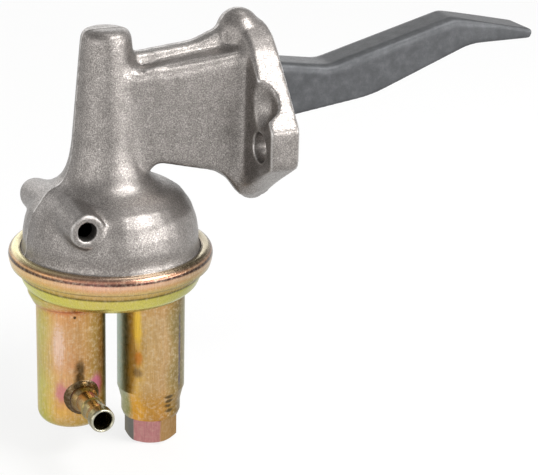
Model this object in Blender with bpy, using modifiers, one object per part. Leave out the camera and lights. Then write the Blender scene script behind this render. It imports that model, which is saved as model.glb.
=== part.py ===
"""Mechanical fuel pump with a rocker arm, a die-cast housing and two plated steel chambers.

Row frame, in metres: the origin lies midway between the two bolt holes on the mounting face.
+X points out of that face along the rocker arm, +Z points up along the pump's own axis, and the
pump hangs on its flange as it does on an engine.
"""
import math

import bmesh
import bpy
from mathutils import Vector

# Clearances
SEAT_GAP = 0.0003        # between faces that rest on each other in the real pump
ROD_GAP = 0.0005         # round the pull rod in its guide
PIN_GAP = 0.0003         # round the rocker pin

# Main layout
PUMP_X = -0.0530         # the pump's own axis lies this far behind the mounting face
CLAMP_Z = -0.0396        # underside of the housing where the diaphragm is clamped
CAN_SPACING = 0.0290     # between the axes of the two chambers

# Mounting flange, a rounded kite with two bolt holes and a slot for the arm
FLANGE_THICKNESS = 0.0102
BOLT_SPACING = 0.0486
BOLT_HOLE = 0.0104
EAR_MARGIN = 0.0096      # from a bolt hole's centre to the end of its ear
FLANGE_EAR = BOLT_SPACING / 2 + EAR_MARGIN
FLANGE_EAR_TOP = 0.0077
FLANGE_EAR_BOTTOM = -0.0052
FLANGE_TOP_CORNER = 0.0487      # sharp corner above, before its rounding
FLANGE_TOP_RADIUS = 0.0195
FLANGE_BOTTOM_CORNER = -0.0277
FLANGE_BOTTOM_RADIUS = 0.0080
FLANGE_EAR_RADIUS = 0.0036
FLANGE_TOE = 0.0085             # how far up the back of the lower corner is rounded away
SLOT_WIDTH = 0.0220
SLOT_BOTTOM = -0.0224
SLOT_TOP = 0.0294
SLOT_DEPTH = 0.0060
SCOOP_SIZE = (0.0065, 0.0060, 0.0090)   # half lengths of the relief above each bolt hole
SCOOP_HEIGHT = 0.0145
SCOOP_SHIFT = 0.0010            # outward from the bolt hole

# Dome
DOME_RADIUS = 0.0295
DOME_SHOULDER_Z = -0.0310
DOME_TOP_Z = -0.0150
DOME_WALL = 0.0030
RIM_WIDTH = 0.0027       # the rim that the cup is rolled over
RIM_THICKNESS = 0.0020
BASE_RADIUS = DOME_RADIUS + RIM_WIDTH

# Tower
TOWER_SHIFT = -0.0014    # the tower stands a little behind the pump's axis
TOWER_TOP = 0.0382
TOWER_TOP_RADIUS = 0.0084
TOWER_FOOT_RADIUS = 0.0116
TOWER_EDGE = 0.0030
TOWER_BORE = 0.0064
TOWER_BORE_TOP = 0.0290

# Neck between tower and flange
NECK_HALF_WIDTH = 0.0130        # at the flange
NECK_HALF_WIDTH_AT_TOWER = 0.0088
NECK_TOP_AT_TOWER = 0.0248
NECK_TOP_AT_FLANGE = 0.0296
NECK_BOTTOM_AT_TOWER = -0.0066
NECK_BOTTOM_AT_FLANGE = -0.0108
NECK_EDGE = 0.0034
NECK_LOWER_EDGE = 0.0018
NECK_GUSSET_WALL = 0.0036       # the two gussets under the neck, behind the flange
NECK_CAVITY_HALF_WIDTH = 0.0087
NECK_CAVITY_FLOOR = -0.0042

# Web along the top of the neck, sweeping up to the round lobe behind the flange
WEB_HALF_WIDTH = 0.0032
WEB_RISE = 0.0034        # above the neck's top at the tower
WEB_SWEEP = 0.0135       # from the flange's back to where the web turns upward
WEB_CROWN = 0.0369
LOBE_EDGE = 0.0034       # rounding of the flange's back edge beside the lobe
LOBE_SIZE = (0.0076, 0.0082, 0.0082)
LOBE_Z = 0.0333

# Vent boss toward the viewer and its blind twin behind, both with draft from the parting plane
BOSS_RADIUS = 0.0057
BOSS_ROOT_RADIUS = 0.0080       # in the parting plane
BOSS_REACH = 0.0252
VENT_BOSS = (-0.0700, -0.0216)
BLIND_BOSS = (-0.0718, -0.0236)
VENT_HOLE = 0.0064

# Lower cup, one steel pressing
CUP_SHEET = 0.0011
CUP_BEAD_SWELL = 0.0008  # how far the bead stands proud of the wall
CUP_LIP_GAP = 0.0009     # between the rolled lip and the dome
CUP_LIP_RISE = 0.0004    # between the rolled lip and the rim under it
CUP_GROOVE_DEPTH = 0.0022
CUP_DEPTH = 0.0109       # from the clamped rim to the underside of the floor
CUP_WALL_RADIUS = BASE_RADIUS + SEAT_GAP + CUP_SHEET
CUP_BEAD_RADIUS = CUP_WALL_RADIUS + CUP_BEAD_SWELL
CUP_LIP_RADIUS = DOME_RADIUS + CUP_LIP_GAP
CUP_LIP_Z = CLAMP_Z + RIM_THICKNESS + CUP_SHEET + CUP_LIP_RISE
CUP_GROOVE_RADIUS = CUP_WALL_RADIUS - CUP_GROOVE_DEPTH
CUP_FLOOR_Z = CLAMP_Z - CUP_DEPTH

# Chambers under the cup
CAN_RADIUS = 0.0117
CAN_SHEET = 0.0009
CAN_TOP_RISE = 0.0043    # how far the chambers reach up beside the cup's floor
CAN_TOP_Z = CUP_FLOOR_Z + CAN_TOP_RISE
INLET_CAN_BOTTOM = -0.0981
INLET_CAN_ROUND = 0.0041
INLET_FLARE = 0.0029     # how far the flared top stands proud of the chamber's wall
OUTLET_FLARE = 0.0020
OUTLET_NECK_RADIUS = 0.0103
OUTLET_NECK_Z = -0.0902
OUTLET_CAN_BOTTOM = -0.1007

# Hose nipple
NIPPLE_Z = -0.0858
NIPPLE_TIP = 0.0317      # from the chamber's axis
NIPPLE_BORE = 0.0031
NIPPLE_STEM = 0.0037
NIPPLE_BARB = 0.00425
NIPPLE_COLLAR = 0.0048

# Outlet fitting
HEX_ACROSS_FLATS = 0.0159
HEX_HEIGHT = 0.0089
HEX_CHAMFER = 0.0010
OUTLET_PORT = 0.0052
FITTING_BARREL = 0.0089
FITTING_BARREL_LENGTH = 0.0100

# Valves
VALVE_BARREL = 0.0086
VALVE_FLANGE = 0.0103
VALVE_LENGTH = 0.0096
VALVE_WALL = 0.0009
VALVE_PORT = 0.0036
VALVE_DISC = 0.0058
VALVE_DISC_THICKNESS = 0.0009
VALVE_WIRE = 0.0006
VALVE_SPRING_RADIUS = 0.0026
VALVE_BRIDGE = 0.0010

# Diaphragm and its plates
DIAPHRAGM_THICKNESS = 0.0012
DIAPHRAGM_DISH = 0.0042
PLATE_RADIUS = 0.0175
PLATE_THICKNESS = 0.0010
PLATE_RIM = 0.0020       # the turned-up edge of each plate
PLATE_RIM_RISE = 0.0010
DIAPHRAGM_CLAMP_RADIUS = DOME_RADIUS - DOME_WALL / 3

# Pull rod
ROD_RADIUS = 0.0016
ROD_TENON = 0.00115
ROD_COLLAR = 0.0032
ROD_HEAD = 0.0026
ROD_FLANGE_THICKNESS = 0.0010

# Rod seal in the web under the neck
SEAL_RADIUS = 0.0087
SEAL_TOP = -0.0120
SEAL_THICKNESS = 0.0040
RETAINER_THICKNESS = 0.0012

# Diaphragm spring and its seat in the tower
SEAT_RADIUS = 0.0060
SEAT_SHEET = 0.0012
DIAPHRAGM_SPRING_RADIUS = 0.0051
DIAPHRAGM_SPRING_WIRE = 0.0014
DIAPHRAGM_SPRING_TURNS = 5.5

# Rocker arm, a steel channel open below
PIVOT_X = -0.0220
PIVOT_Z = 0.0050
ARM_WIDTH = 0.0150
ARM_SHEET = 0.0028
ARM_BEND = 0.0026        # outer radius of the channel's long edges
ARM_EYE = 0.0070
ARM_ROOT_X = -0.0080
ARM_ROOT_Z = 0.0226
ARM_FLAT_X = 0.0060
ARM_FLAT_Z = 0.0228
ARM_KINK_X = 0.0240
ARM_KINK_Z = 0.0202
ARM_CREST_X = 0.0716
ARM_CREST_Z = 0.0332
ARM_TIP_X = 0.1040
ARM_TIP_TOP = 0.0265
ARM_TIP_BOTTOM = 0.0234
ARM_POCKET_END = 0.0960

# Link from the arm to the pull rod
LINK_EYE = 0.0062
LINK_PAD_RADIUS = 0.0030
LINK_PAD_TOP = 0.0052
LINK_FORK = 0.0022       # half width of the slot round the rod
LINK_TOE_REACH = 0.0108  # from the pin to the front of the toe
LINK_TOE_LENGTH = 0.0060

# Rocker pin
PIN_RADIUS = 0.0038
PIN_HALF_LENGTH = 0.0104
PLUG_THICKNESS = 0.0016

# Arm return spring
RETURN_SPRING_X = -0.0054
RETURN_SPRING_WIRE = 0.0013
RETURN_SPRING_TURNS = 7.5
RETURN_SPRING_GAP = 0.00045     # between the spring and the inside of the arm
RETURN_POCKET_GAP = 0.00065
RETURN_POCKET_Z = -0.0120
RETURN_SPRING_RADIUS = ARM_WIDTH / 2 - ARM_SHEET - RETURN_SPRING_GAP - RETURN_SPRING_WIRE / 2
RETURN_POCKET = RETURN_SPRING_RADIUS + RETURN_SPRING_WIRE / 2 + RETURN_POCKET_GAP

# Facets
ROUND_STEPS = 36
SMALL_STEPS = 20
CUT_MARGIN = 0.0010

INLET_X = PUMP_X - CAN_SPACING / 2
OUTLET_X = PUMP_X + CAN_SPACING / 2
TOWER_X = PUMP_X + TOWER_SHIFT
DIAPHRAGM_TOP = CLAMP_Z - SEAT_GAP
DIAPHRAGM_LOW = DIAPHRAGM_TOP - DIAPHRAGM_DISH
CUP_SHELF_Z = DIAPHRAGM_TOP - DIAPHRAGM_THICKNESS - SEAT_GAP - CUP_SHEET
SPRING_SEAT_Z = LINK_PAD_TOP + SEAT_GAP

parts = None
cutters = None


def clear_scene():
    """Remove whatever the file opened with."""
    for old in list(bpy.data.objects):
        bpy.data.objects.remove(old, do_unlink=True)


def collection(name):
    """Make a collection under the scene."""
    made = bpy.data.collections.new(name)
    bpy.context.scene.collection.children.link(made)
    return made


def finish(name, colour, roughness, metallic):
    """A plain Principled material."""
    made = bpy.data.materials.new(name)
    made.use_nodes = True
    shader = made.node_tree.nodes["Principled BSDF"]
    shader.inputs["Base Color"].default_value = (*colour, 1.0)
    shader.inputs["Roughness"].default_value = roughness
    shader.inputs["Metallic"].default_value = metallic
    return made


def place(obj, home):
    """Link an object into one collection only."""
    for user in list(obj.users_collection):
        user.objects.unlink(obj)
    home.objects.link(obj)
    return obj


def as_cutter(obj):
    """Keep a tool body out of the model."""
    place(obj, cutters)
    obj.hide_render = True
    obj.display_type = "WIRE"
    return obj


def as_part(obj, name, look):
    """Name a finished piece, give it its material and shade its round faces."""
    obj.name = name
    obj.data.name = name
    obj.data.materials.clear()
    obj.data.materials.append(look)
    if obj.type == "MESH":
        obj.data.shade_smooth()
        obj.data.set_sharp_from_angle(angle=math.radians(35))
    return place(obj, parts)


def arc(centre, radius, start, end, steps):
    """Points along an arc, its angles in degrees."""
    points = []
    for index in range(steps + 1):
        angle = math.radians(start + (end - start) * index / steps)
        points.append((centre[0] + radius * math.cos(angle), centre[1] + radius * math.sin(angle)))
    return points


def rounded(corners, steps=5):
    """Round the corners of a closed outline, each corner given as (u, v, radius)."""
    points = []
    count = len(corners)
    for index, (u, v, radius) in enumerate(corners):
        corner = Vector((u, v))
        before = (Vector(corners[index - 1][:2]) - corner).normalized()
        after = (Vector(corners[(index + 1) % count][:2]) - corner).normalized()
        if radius == 0:
            points.append((u, v))
            continue
        half = before.angle(after) / 2
        centre = corner + (before + after).normalized() * radius / math.sin(half)
        first = corner + before * radius / math.tan(half) - centre
        last = corner + after * radius / math.tan(half) - centre
        turn = first.angle_signed(last)
        for step in range(steps + 1):
            angle = -turn * step / steps
            x = first.x * math.cos(angle) - first.y * math.sin(angle)
            y = first.x * math.sin(angle) + first.y * math.cos(angle)
            points.append((centre.x + x, centre.y + y))
    return points


def mesh_from_curve(curve_object):
    """Turn a filled curve into a closed mesh at the same place."""
    bpy.context.view_layer.update()
    seen = curve_object.evaluated_get(bpy.context.evaluated_depsgraph_get())
    mesh = bpy.data.meshes.new_from_object(seen)
    grid = bmesh.new()
    grid.from_mesh(mesh)
    bmesh.ops.remove_doubles(grid, verts=grid.verts, dist=0.000002)
    bmesh.ops.dissolve_limit(grid, angle_limit=math.radians(0.2), verts=grid.verts, edges=grid.edges)
    bmesh.ops.recalc_face_normals(grid, faces=grid.faces)
    grid.to_mesh(mesh)
    grid.free()
    made = bpy.data.objects.new(curve_object.name, mesh)
    place(made, parts)
    made.matrix_world = curve_object.matrix_world
    bpy.data.objects.remove(curve_object, do_unlink=True)
    return made


SIDE_VIEW = (math.pi / 2, 0, 0)               # outline (x, z), thickness along Y
FACE_VIEW = (math.pi / 2, 0, math.pi / 2)     # outline (y, z), thickness along X


def plate(name, outline, thickness, view, centre=(0, 0, 0)):
    """A flat outline with a thickness, as a mesh."""
    data = bpy.data.curves.new(name, "CURVE")
    data.dimensions = "2D"
    data.fill_mode = "BOTH"
    data.extrude = thickness / 2
    spline = data.splines.new("POLY")
    spline.points.add(len(outline) - 1)
    for point, (u, v) in zip(spline.points, outline):
        point.co = (u, v, 0, 1)
    spline.use_cyclic_u = True
    guide = bpy.data.objects.new(name, data)
    place(guide, parts)
    guide.rotation_euler = view
    guide.location = centre
    return mesh_from_curve(guide)


def turned(name, profile, place_at, steps=ROUND_STEPS, turn=(0, 0, 0), closed=False):
    """Turn a profile of (radius, height) points, listed from the top down on the outer side."""
    mesh = bpy.data.meshes.new(name)
    edges = [(index, index + 1) for index in range(len(profile) - 1)]
    if closed:
        edges.append((len(profile) - 1, 0))
    mesh.from_pydata([(radius, 0, height) for radius, height in profile], edges, [])
    made = bpy.data.objects.new(name, mesh)
    place(made, parts)
    made.location = place_at
    made.rotation_euler = turn
    screw = made.modifiers.new("Turn", "SCREW")
    screw.angle = math.tau
    screw.steps = steps
    screw.render_steps = steps
    screw.use_merge_vertices = True
    screw.merge_threshold = 0.000005
    screw.use_smooth_shade = True
    return made


def shell(name, profile, thickness, place_at, steps=ROUND_STEPS):
    """A drawn sheet-metal form: the outer surface turned, then thickened inward."""
    made = turned(name, profile, place_at, steps)
    wall = made.modifiers.new("Sheet", "SOLIDIFY")
    wall.thickness = thickness
    wall.offset = -1
    wall.use_even_offset = True
    return made


def cylinder(name, radius, length, centre, turn=(0, 0, 0), steps=SMALL_STEPS):
    """A round bar as a primitive."""
    bpy.ops.mesh.primitive_cylinder_add(
        vertices=steps, radius=radius, depth=length, location=centre, rotation=turn)
    made = bpy.context.object
    made.name = name
    return place(made, parts)


def ball(name, size, centre, steps=SMALL_STEPS):
    """An ellipsoid of half lengths given by size."""
    bpy.ops.mesh.primitive_uv_sphere_add(segments=steps, ring_count=steps // 2, radius=1, location=centre)
    made = bpy.context.object
    made.name = name
    made.scale = size
    bpy.ops.object.transform_apply(location=False, rotation=False, scale=True)
    return place(made, parts)


def combine(base, tool, operation):
    """Join, cut or intersect with another body, which becomes a cutter."""
    as_cutter(tool)
    change = base.modifiers.new(tool.name, "BOOLEAN")
    change.operation = operation
    change.object = tool
    change.solver = "EXACT"
    return base


def add(base, tool):
    """Join a body on."""
    return combine(base, tool, "UNION")


def cut(base, tool):
    """Cut a body away."""
    return combine(base, tool, "DIFFERENCE")


def soften(obj, width, segments, share_at, across):
    """Round the edges that don't run across an axis; share_at gives the share of the width at a point."""
    bpy.context.view_layer.update()
    mesh = obj.data
    weights = mesh.attributes.new("bevel_weight_edge", "FLOAT", "EDGE")
    for edge in mesh.edges:
        ends = [obj.matrix_world @ mesh.vertices[index].co for index in edge.vertices]
        run = ends[0] - ends[1]
        if abs(run[across]) < run.length / 2:
            weights.data[edge.index].value = min(share_at(end) for end in ends)
    bevel = obj.modifiers.new("Soft edge", "BEVEL")
    bevel.limit_method = "WEIGHT"
    bevel.width = width
    bevel.segments = segments
    bevel.use_clamp_overlap = False
    return obj


def coil(name, radius, wire, turns, low, high, place_at, look):
    """A compression spring with a closed turn at each end, between two heights."""
    data = bpy.data.curves.new(name, "CURVE")
    data.dimensions = "3D"
    data.bevel_depth = wire / 2
    data.bevel_resolution = 2
    data.use_fill_caps = True
    per_turn = 8
    count = round(turns * per_turn)
    bottom = low + wire / 2
    top = high - wire / 2
    rise_per_turn = (top - bottom - 2 * wire * 1.1) / (turns - 2)
    spline = data.splines.new("POLY")
    spline.points.add(count)
    for index in range(count + 1):
        turn = index / per_turn
        if turn <= 1:
            height = bottom + turn * wire * 1.1
        elif turn >= turns - 1:
            height = top - (turns - turn) * wire * 1.1
        else:
            height = bottom + wire * 1.1 + (turn - 1) * rise_per_turn
        angle = math.tau * turn
        spline.points[index].co = (radius * math.cos(angle), radius * math.sin(angle), height, 1)
    made = bpy.data.objects.new(name, data)
    made.location = place_at
    return as_part(made, name, look)


def dome_profile():
    """Outer side of the dome down to the clamped rim."""
    return [
        (0, DOME_TOP_Z),
        (DOME_RADIUS * 0.627, DOME_TOP_Z),
        (DOME_RADIUS * 0.729, DOME_TOP_Z - DOME_RADIUS * 0.048),
        (DOME_RADIUS * 0.834, DOME_TOP_Z - DOME_RADIUS * 0.122),
        (DOME_RADIUS * 0.922, DOME_TOP_Z - DOME_RADIUS * 0.248),
        (DOME_RADIUS * 0.973, DOME_SHOULDER_Z + DOME_RADIUS * 0.152),
        (DOME_RADIUS, DOME_SHOULDER_Z),
        (DOME_RADIUS, CLAMP_Z + RIM_THICKNESS),
        (BASE_RADIUS, CLAMP_Z + RIM_THICKNESS),
        (BASE_RADIUS, CLAMP_Z),
        (0, CLAMP_Z),
    ]


def dome_cavity_profile():
    """The hollow over the diaphragm, with the recess for the rod seal above it."""
    inner = DOME_RADIUS - DOME_WALL
    roof = DOME_TOP_Z - DOME_WALL - 0.0006
    return [
        (0, SEAL_TOP),
        (SEAL_RADIUS + SEAT_GAP, SEAL_TOP),
        (SEAL_RADIUS + SEAT_GAP, roof),
        (inner * 0.660, roof),
        (inner * 0.792, roof - inner * 0.053),
        (inner * 0.902, roof - inner * 0.136),
        (inner * 0.966, roof - inner * 0.264),
        (inner, DOME_SHOULDER_Z + DOME_RADIUS * 0.068),
        (inner, CLAMP_Z - CUT_MARGIN),
        (0, CLAMP_Z - CUT_MARGIN),
    ]


def tower_profile():
    """The tapered tower and the flare where it grows out of the dome."""
    edge = arc((TOWER_TOP_RADIUS - TOWER_EDGE, TOWER_TOP - TOWER_EDGE), TOWER_EDGE, 90, 0, 5)
    flare = [
        (TOWER_FOOT_RADIUS + 0.0008, -0.0050),
        (TOWER_FOOT_RADIUS + 0.0020, -0.0090),
        (TOWER_FOOT_RADIUS + 0.0037, -0.0122),
        (TOWER_FOOT_RADIUS + 0.0065, -0.0148),
        (TOWER_FOOT_RADIUS + 0.0065, DOME_TOP_Z - DOME_WALL / 2),
    ]
    return [(0, TOWER_TOP)] + edge + [(TOWER_FOOT_RADIUS, 0)] + flare + [(0, DOME_TOP_Z - DOME_WALL / 2)]


def neck_body():
    """The neck between the tower and the flange, flared downward behind the flange."""
    back = -FLANGE_THICKNESS
    outline = rounded([
        (TOWER_X, NECK_TOP_AT_TOWER - 0.0005, 0),
        (back / 2, NECK_TOP_AT_FLANGE + 0.0008, 0),
        (back / 2, -0.0216, 0),
        (back - 0.0010, -0.0212, 0),
        (back - 0.0082, NECK_BOTTOM_AT_FLANGE - 0.0008, 0.0040),
        (-0.0398, NECK_BOTTOM_AT_TOWER, 0.0035),
        (-0.0424, NECK_BOTTOM_AT_TOWER - 0.0028, 0),
        (TOWER_X, NECK_BOTTOM_AT_TOWER - 0.0028, 0),
    ])
    body = plate("neck", outline, 2 * NECK_HALF_WIDTH, SIDE_VIEW)
    slope = (NECK_HALF_WIDTH - NECK_HALF_WIDTH_AT_TOWER) / (back - TOWER_X)
    for vertex in body.data.vertices:
        half = NECK_HALF_WIDTH_AT_TOWER + slope * (vertex.co.x - TOWER_X)
        vertex.co.z = math.copysign(half, vertex.co.z)

    def edge_share(point):
        """Full rounding on top, less underneath."""
        return 1.0 if point.z > 0 else NECK_LOWER_EDGE / NECK_EDGE

    soften(body, NECK_EDGE, 4, edge_share, 1)
    channel = [
        (back - 0.0102, NECK_BOTTOM_AT_FLANGE - 0.0004),
        (back, NECK_BOTTOM_AT_FLANGE - 0.0022),
        (back, FLANGE_BOTTOM_CORNER),
        (back - 0.0102, FLANGE_BOTTOM_CORNER),
    ]
    return cut(body, plate("neck_channel", channel, 2 * (NECK_HALF_WIDTH - NECK_GUSSET_WALL), SIDE_VIEW))


def flange_body():
    """The kite-shaped mounting flange."""
    corners = [
        (0, FLANGE_TOP_CORNER, FLANGE_TOP_RADIUS),
        (FLANGE_EAR, FLANGE_EAR_TOP, FLANGE_EAR_RADIUS),
        (FLANGE_EAR, FLANGE_EAR_BOTTOM, FLANGE_EAR_RADIUS),
        (0, FLANGE_BOTTOM_CORNER, FLANGE_BOTTOM_RADIUS),
        (-FLANGE_EAR, FLANGE_EAR_BOTTOM, FLANGE_EAR_RADIUS),
        (-FLANGE_EAR, FLANGE_EAR_TOP, FLANGE_EAR_RADIUS),
    ]
    back = -FLANGE_THICKNESS
    body = plate("flange", rounded(corners, 6), FLANGE_THICKNESS, FACE_VIEW, (back / 2, 0, 0))

    def back_share(point):
        """Full rounding behind the upper lobe, fading to nothing at the ears."""
        if point.x > back / 2:
            return 0.0
        return min(1.0, max(0.0, (point.z - FLANGE_EAR_TOP) / (FLANGE_TOP_CORNER / 2)))

    soften(body, LOBE_EDGE, 4, back_share, 0)
    toe_top = FLANGE_BOTTOM_CORNER + FLANGE_TOE
    toe = [
        (back - CUT_MARGIN, toe_top + CUT_MARGIN),
        (back * 0.93, toe_top - FLANGE_TOE * 0.12),
        (back * 0.64, toe_top - FLANGE_TOE * 0.55),
        (back * 0.25, toe_top - FLANGE_TOE * 0.80),
        (CUT_MARGIN, toe_top - FLANGE_TOE * 0.86),
        (CUT_MARGIN, FLANGE_BOTTOM_CORNER - CUT_MARGIN),
        (back - CUT_MARGIN, FLANGE_BOTTOM_CORNER - CUT_MARGIN),
    ]
    return cut(body, plate("flange_toe", toe, 2 * FLANGE_EAR, SIDE_VIEW))


def web_body():
    """The raised web along the neck's top that carries the flange's upper lobe."""
    back = -FLANGE_THICKNESS
    root = NECK_TOP_AT_TOWER - NECK_EDGE
    outline = rounded([
        (TOWER_X, NECK_TOP_AT_TOWER + WEB_RISE, 0),
        (back - WEB_SWEEP, NECK_TOP_AT_FLANGE + WEB_RISE / 2, WEB_SWEEP),
        (back, WEB_CROWN, LOBE_EDGE / 2),
        (back / 2, WEB_CROWN, 0),
        (back / 2, root, 0),
        (TOWER_X, root, 0),
    ])
    return plate("web", outline, 2 * WEB_HALF_WIDTH, SIDE_VIEW)


def boss_body():
    """The vent boss and its blind twin as one body, thickest in the parting plane."""
    blind_end = BOSS_REACH - BOSS_RADIUS / 2
    rings = [
        (VENT_BOSS, -BOSS_REACH, BOSS_RADIUS),
        (VENT_BOSS, 0, BOSS_ROOT_RADIUS),
        (BLIND_BOSS, blind_end, BOSS_RADIUS),
    ]
    for degrees in (30, 55, 78):
        turn = math.radians(degrees)
        rings.append((BLIND_BOSS, blind_end + BOSS_RADIUS * math.sin(turn), BOSS_RADIUS * math.cos(turn)))
    steps = 20
    points = []
    for (x, z), y, radius in rings:
        for step in range(steps):
            turn = math.tau * step / steps
            points.append((x + radius * math.cos(turn), y, z + radius * math.sin(turn)))
    faces = [list(range(steps)), list(range(len(points) - 1, len(points) - steps - 1, -1))]
    for start in range(0, len(points) - steps, steps):
        for step in range(steps):
            after = (step + 1) % steps
            faces.append((start + after, start + step, start + steps + step, start + steps + after))
    mesh = bpy.data.meshes.new("bosses")
    mesh.from_pydata(points, [], faces)
    return place(bpy.data.objects.new("bosses", mesh), parts)


def slot_outline():
    """A slot with round ends, standing upright in the flange."""
    radius = SLOT_WIDTH / 2
    return (arc((0, SLOT_TOP - radius), radius, 0, 180, 8)
            + arc((0, SLOT_BOTTOM + radius), radius, 180, 360, 8))


def neck_cavity_body():
    """The hollow that the arm and the link swing in."""
    outline = [
        (PUMP_X - 0.0048, NECK_CAVITY_FLOOR),
        (PUMP_X - 0.0048, LINK_PAD_TOP + 0.0060),
        (PUMP_X + 0.0090, LINK_PAD_TOP + 0.0060),
        (-0.0400, NECK_TOP_AT_TOWER - 0.0040),
        (-SLOT_DEPTH + CUT_MARGIN, NECK_TOP_AT_FLANGE - 0.0036),
        (-SLOT_DEPTH + CUT_MARGIN, NECK_CAVITY_FLOOR),
    ]
    return plate("neck_cavity", outline, 2 * NECK_CAVITY_HALF_WIDTH, SIDE_VIEW)


def housing():
    """The die-cast body: dome, tower, neck, flange and bosses, hollow inside."""
    axis = (PUMP_X, 0, 0)
    body = turned("housing", dome_profile(), axis)
    add(body, turned("tower", tower_profile(), (TOWER_X, 0, 0), 28))
    add(body, neck_body())
    add(body, flange_body())
    add(body, web_body())
    add(body, ball("flange_lobe", LOBE_SIZE, (-LOBE_SIZE[0], 0, LOBE_Z), 24))
    add(body, boss_body())
    cut(body, turned("dome_cavity", dome_cavity_profile(), axis))
    cut(body, neck_cavity_body())
    cut(body, plate("arm_slot", slot_outline(), SLOT_DEPTH + CUT_MARGIN, FACE_VIEW,
                    ((CUT_MARGIN - SLOT_DEPTH) / 2, 0, 0)))
    bore_low = LINK_PAD_TOP
    cut(body, cylinder("tower_bore", TOWER_BORE, TOWER_BORE_TOP - bore_low,
                       (PUMP_X, 0, (TOWER_BORE_TOP + bore_low) / 2)))
    guide_low = SEAL_TOP - CUT_MARGIN
    guide_high = NECK_CAVITY_FLOOR + CUT_MARGIN
    cut(body, cylinder("rod_guide", ROD_RADIUS + ROD_GAP, guide_high - guide_low,
                       (PUMP_X, 0, (guide_low + guide_high) / 2), steps=16))
    pocket_high = NECK_CAVITY_FLOOR + CUT_MARGIN
    cut(body, cylinder("return_spring_pocket", RETURN_POCKET, pocket_high - RETURN_POCKET_Z,
                       (RETURN_SPRING_X, 0, (pocket_high + RETURN_POCKET_Z) / 2)))
    vent_x, vent_z = VENT_BOSS
    vent_start = BOSS_REACH + CUT_MARGIN
    vent_end = BOSS_REACH / 2
    cut(body, cylinder("vent_hole", VENT_HOLE / 2, vent_start - vent_end,
                       (vent_x, -(vent_start + vent_end) / 2, vent_z), SIDE_VIEW))
    pin_far = NECK_HALF_WIDTH + CUT_MARGIN
    pin_near = -PIN_HALF_LENGTH - SEAT_GAP
    cut(body, cylinder("pin_bore", PIN_RADIUS + PIN_GAP, pin_far - pin_near,
                       (PIVOT_X, (pin_far + pin_near) / 2, PIVOT_Z), SIDE_VIEW, 20))
    for side in (-1, 1):
        y = side * BOLT_SPACING / 2
        cut(body, cylinder(f"bolt_hole_{side}", BOLT_HOLE / 2, FLANGE_THICKNESS + 2 * CUT_MARGIN,
                           (-FLANGE_THICKNESS / 2, y, 0), (0, math.pi / 2, 0)))
        cut(body, ball(f"wrench_relief_{side}", SCOOP_SIZE,
                       (-FLANGE_THICKNESS - CUT_MARGIN, y + side * SCOOP_SHIFT, SCOOP_HEIGHT), 20))
    return as_part(body, "housing", LOOKS["cast aluminium"])


def cup_profile():
    """Outer side of the cup from its rolled lip to the middle of its floor."""
    return [
        (CUP_LIP_RADIUS, CUP_LIP_Z - 0.0002),
        (CUP_LIP_RADIUS + 0.0022, CUP_LIP_Z),
        (CUP_BEAD_RADIUS - 0.0006, CUP_LIP_Z - 0.0008),
        (CUP_BEAD_RADIUS, CUP_LIP_Z - 0.0024),
        (CUP_BEAD_RADIUS - 0.0001, CUP_LIP_Z - 0.0042),
        (CUP_WALL_RADIUS, CUP_SHELF_Z + 0.0003),
        (CUP_WALL_RADIUS - 0.0008, CUP_SHELF_Z),
        (CUP_GROOVE_RADIUS, CUP_SHELF_Z - 0.0001),
        (CUP_GROOVE_RADIUS - 0.0004, CUP_SHELF_Z - 0.0014),
        (CUP_GROOVE_RADIUS - 0.0007, CUP_SHELF_Z - 0.0033),
        (CUP_GROOVE_RADIUS - 0.0022, CUP_FLOOR_Z + 0.0021),
        (CUP_GROOVE_RADIUS - 0.0048, CUP_FLOOR_Z + 0.0003),
        (CUP_GROOVE_RADIUS - 0.0080, CUP_FLOOR_Z),
        (0, CUP_FLOOR_Z),
    ]


def lower_cup():
    """The stamped cup rolled over the housing's rim, with a hole for each valve."""
    body = shell("lower_cup", cup_profile(), CUP_SHEET, (PUMP_X, 0, 0))
    for name, x in (("inlet", INLET_X), ("outlet", OUTLET_X)):
        cut(body, cylinder(f"{name}_valve_hole", VALVE_BARREL + SEAT_GAP, 4 * CUP_SHEET,
                           (x, 0, CUP_FLOOR_Z + CUP_SHEET / 2)))
    return as_part(body, "lower_cup", LOOKS["zinc plate"])


def cup_clearance():
    """The cup's outer form grown by the seating gap, to trim what is brazed to it."""
    grown = [(radius + SEAT_GAP, height - SEAT_GAP) for radius, height in cup_profile()[8:-1]]
    top = CUP_SHELF_Z + 0.0030
    return [(0, top), (grown[0][0], top)] + grown + [(0, CUP_FLOOR_Z - SEAT_GAP)]


def inlet_can():
    """The closed chamber that the hose nipple feeds."""
    flare = CAN_RADIUS + INLET_FLARE
    low = INLET_CAN_BOTTOM
    profile = [
        (flare, CAN_TOP_Z),
        (flare - 0.0003, CUP_FLOOR_Z - 0.0003),
        (CAN_RADIUS + 0.0016, CUP_FLOOR_Z - 0.0023),
        (CAN_RADIUS + 0.0009, CUP_FLOOR_Z - 0.0037),
        (CAN_RADIUS + 0.0002, CUP_FLOOR_Z - 0.0042),
        (CAN_RADIUS, CUP_FLOOR_Z - 0.0052),
    ]
    profile += arc((CAN_RADIUS - INLET_CAN_ROUND, low + INLET_CAN_ROUND), INLET_CAN_ROUND, 0, -90, 5)
    profile.append((0, low))
    body = shell("inlet_can", profile, CAN_SHEET, (INLET_X, 0, 0), 32)
    cut(body, turned("cup_over_inlet_can", cup_clearance(), (PUMP_X, 0, 0)))
    hole = NIPPLE_STEM + SEAT_GAP
    cut(body, cylinder("nipple_hole", hole, CAN_RADIUS, (INLET_X, -CAN_RADIUS, NIPPLE_Z), SIDE_VIEW))
    return as_part(body, "inlet_can", LOOKS["zinc plate"])


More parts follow.
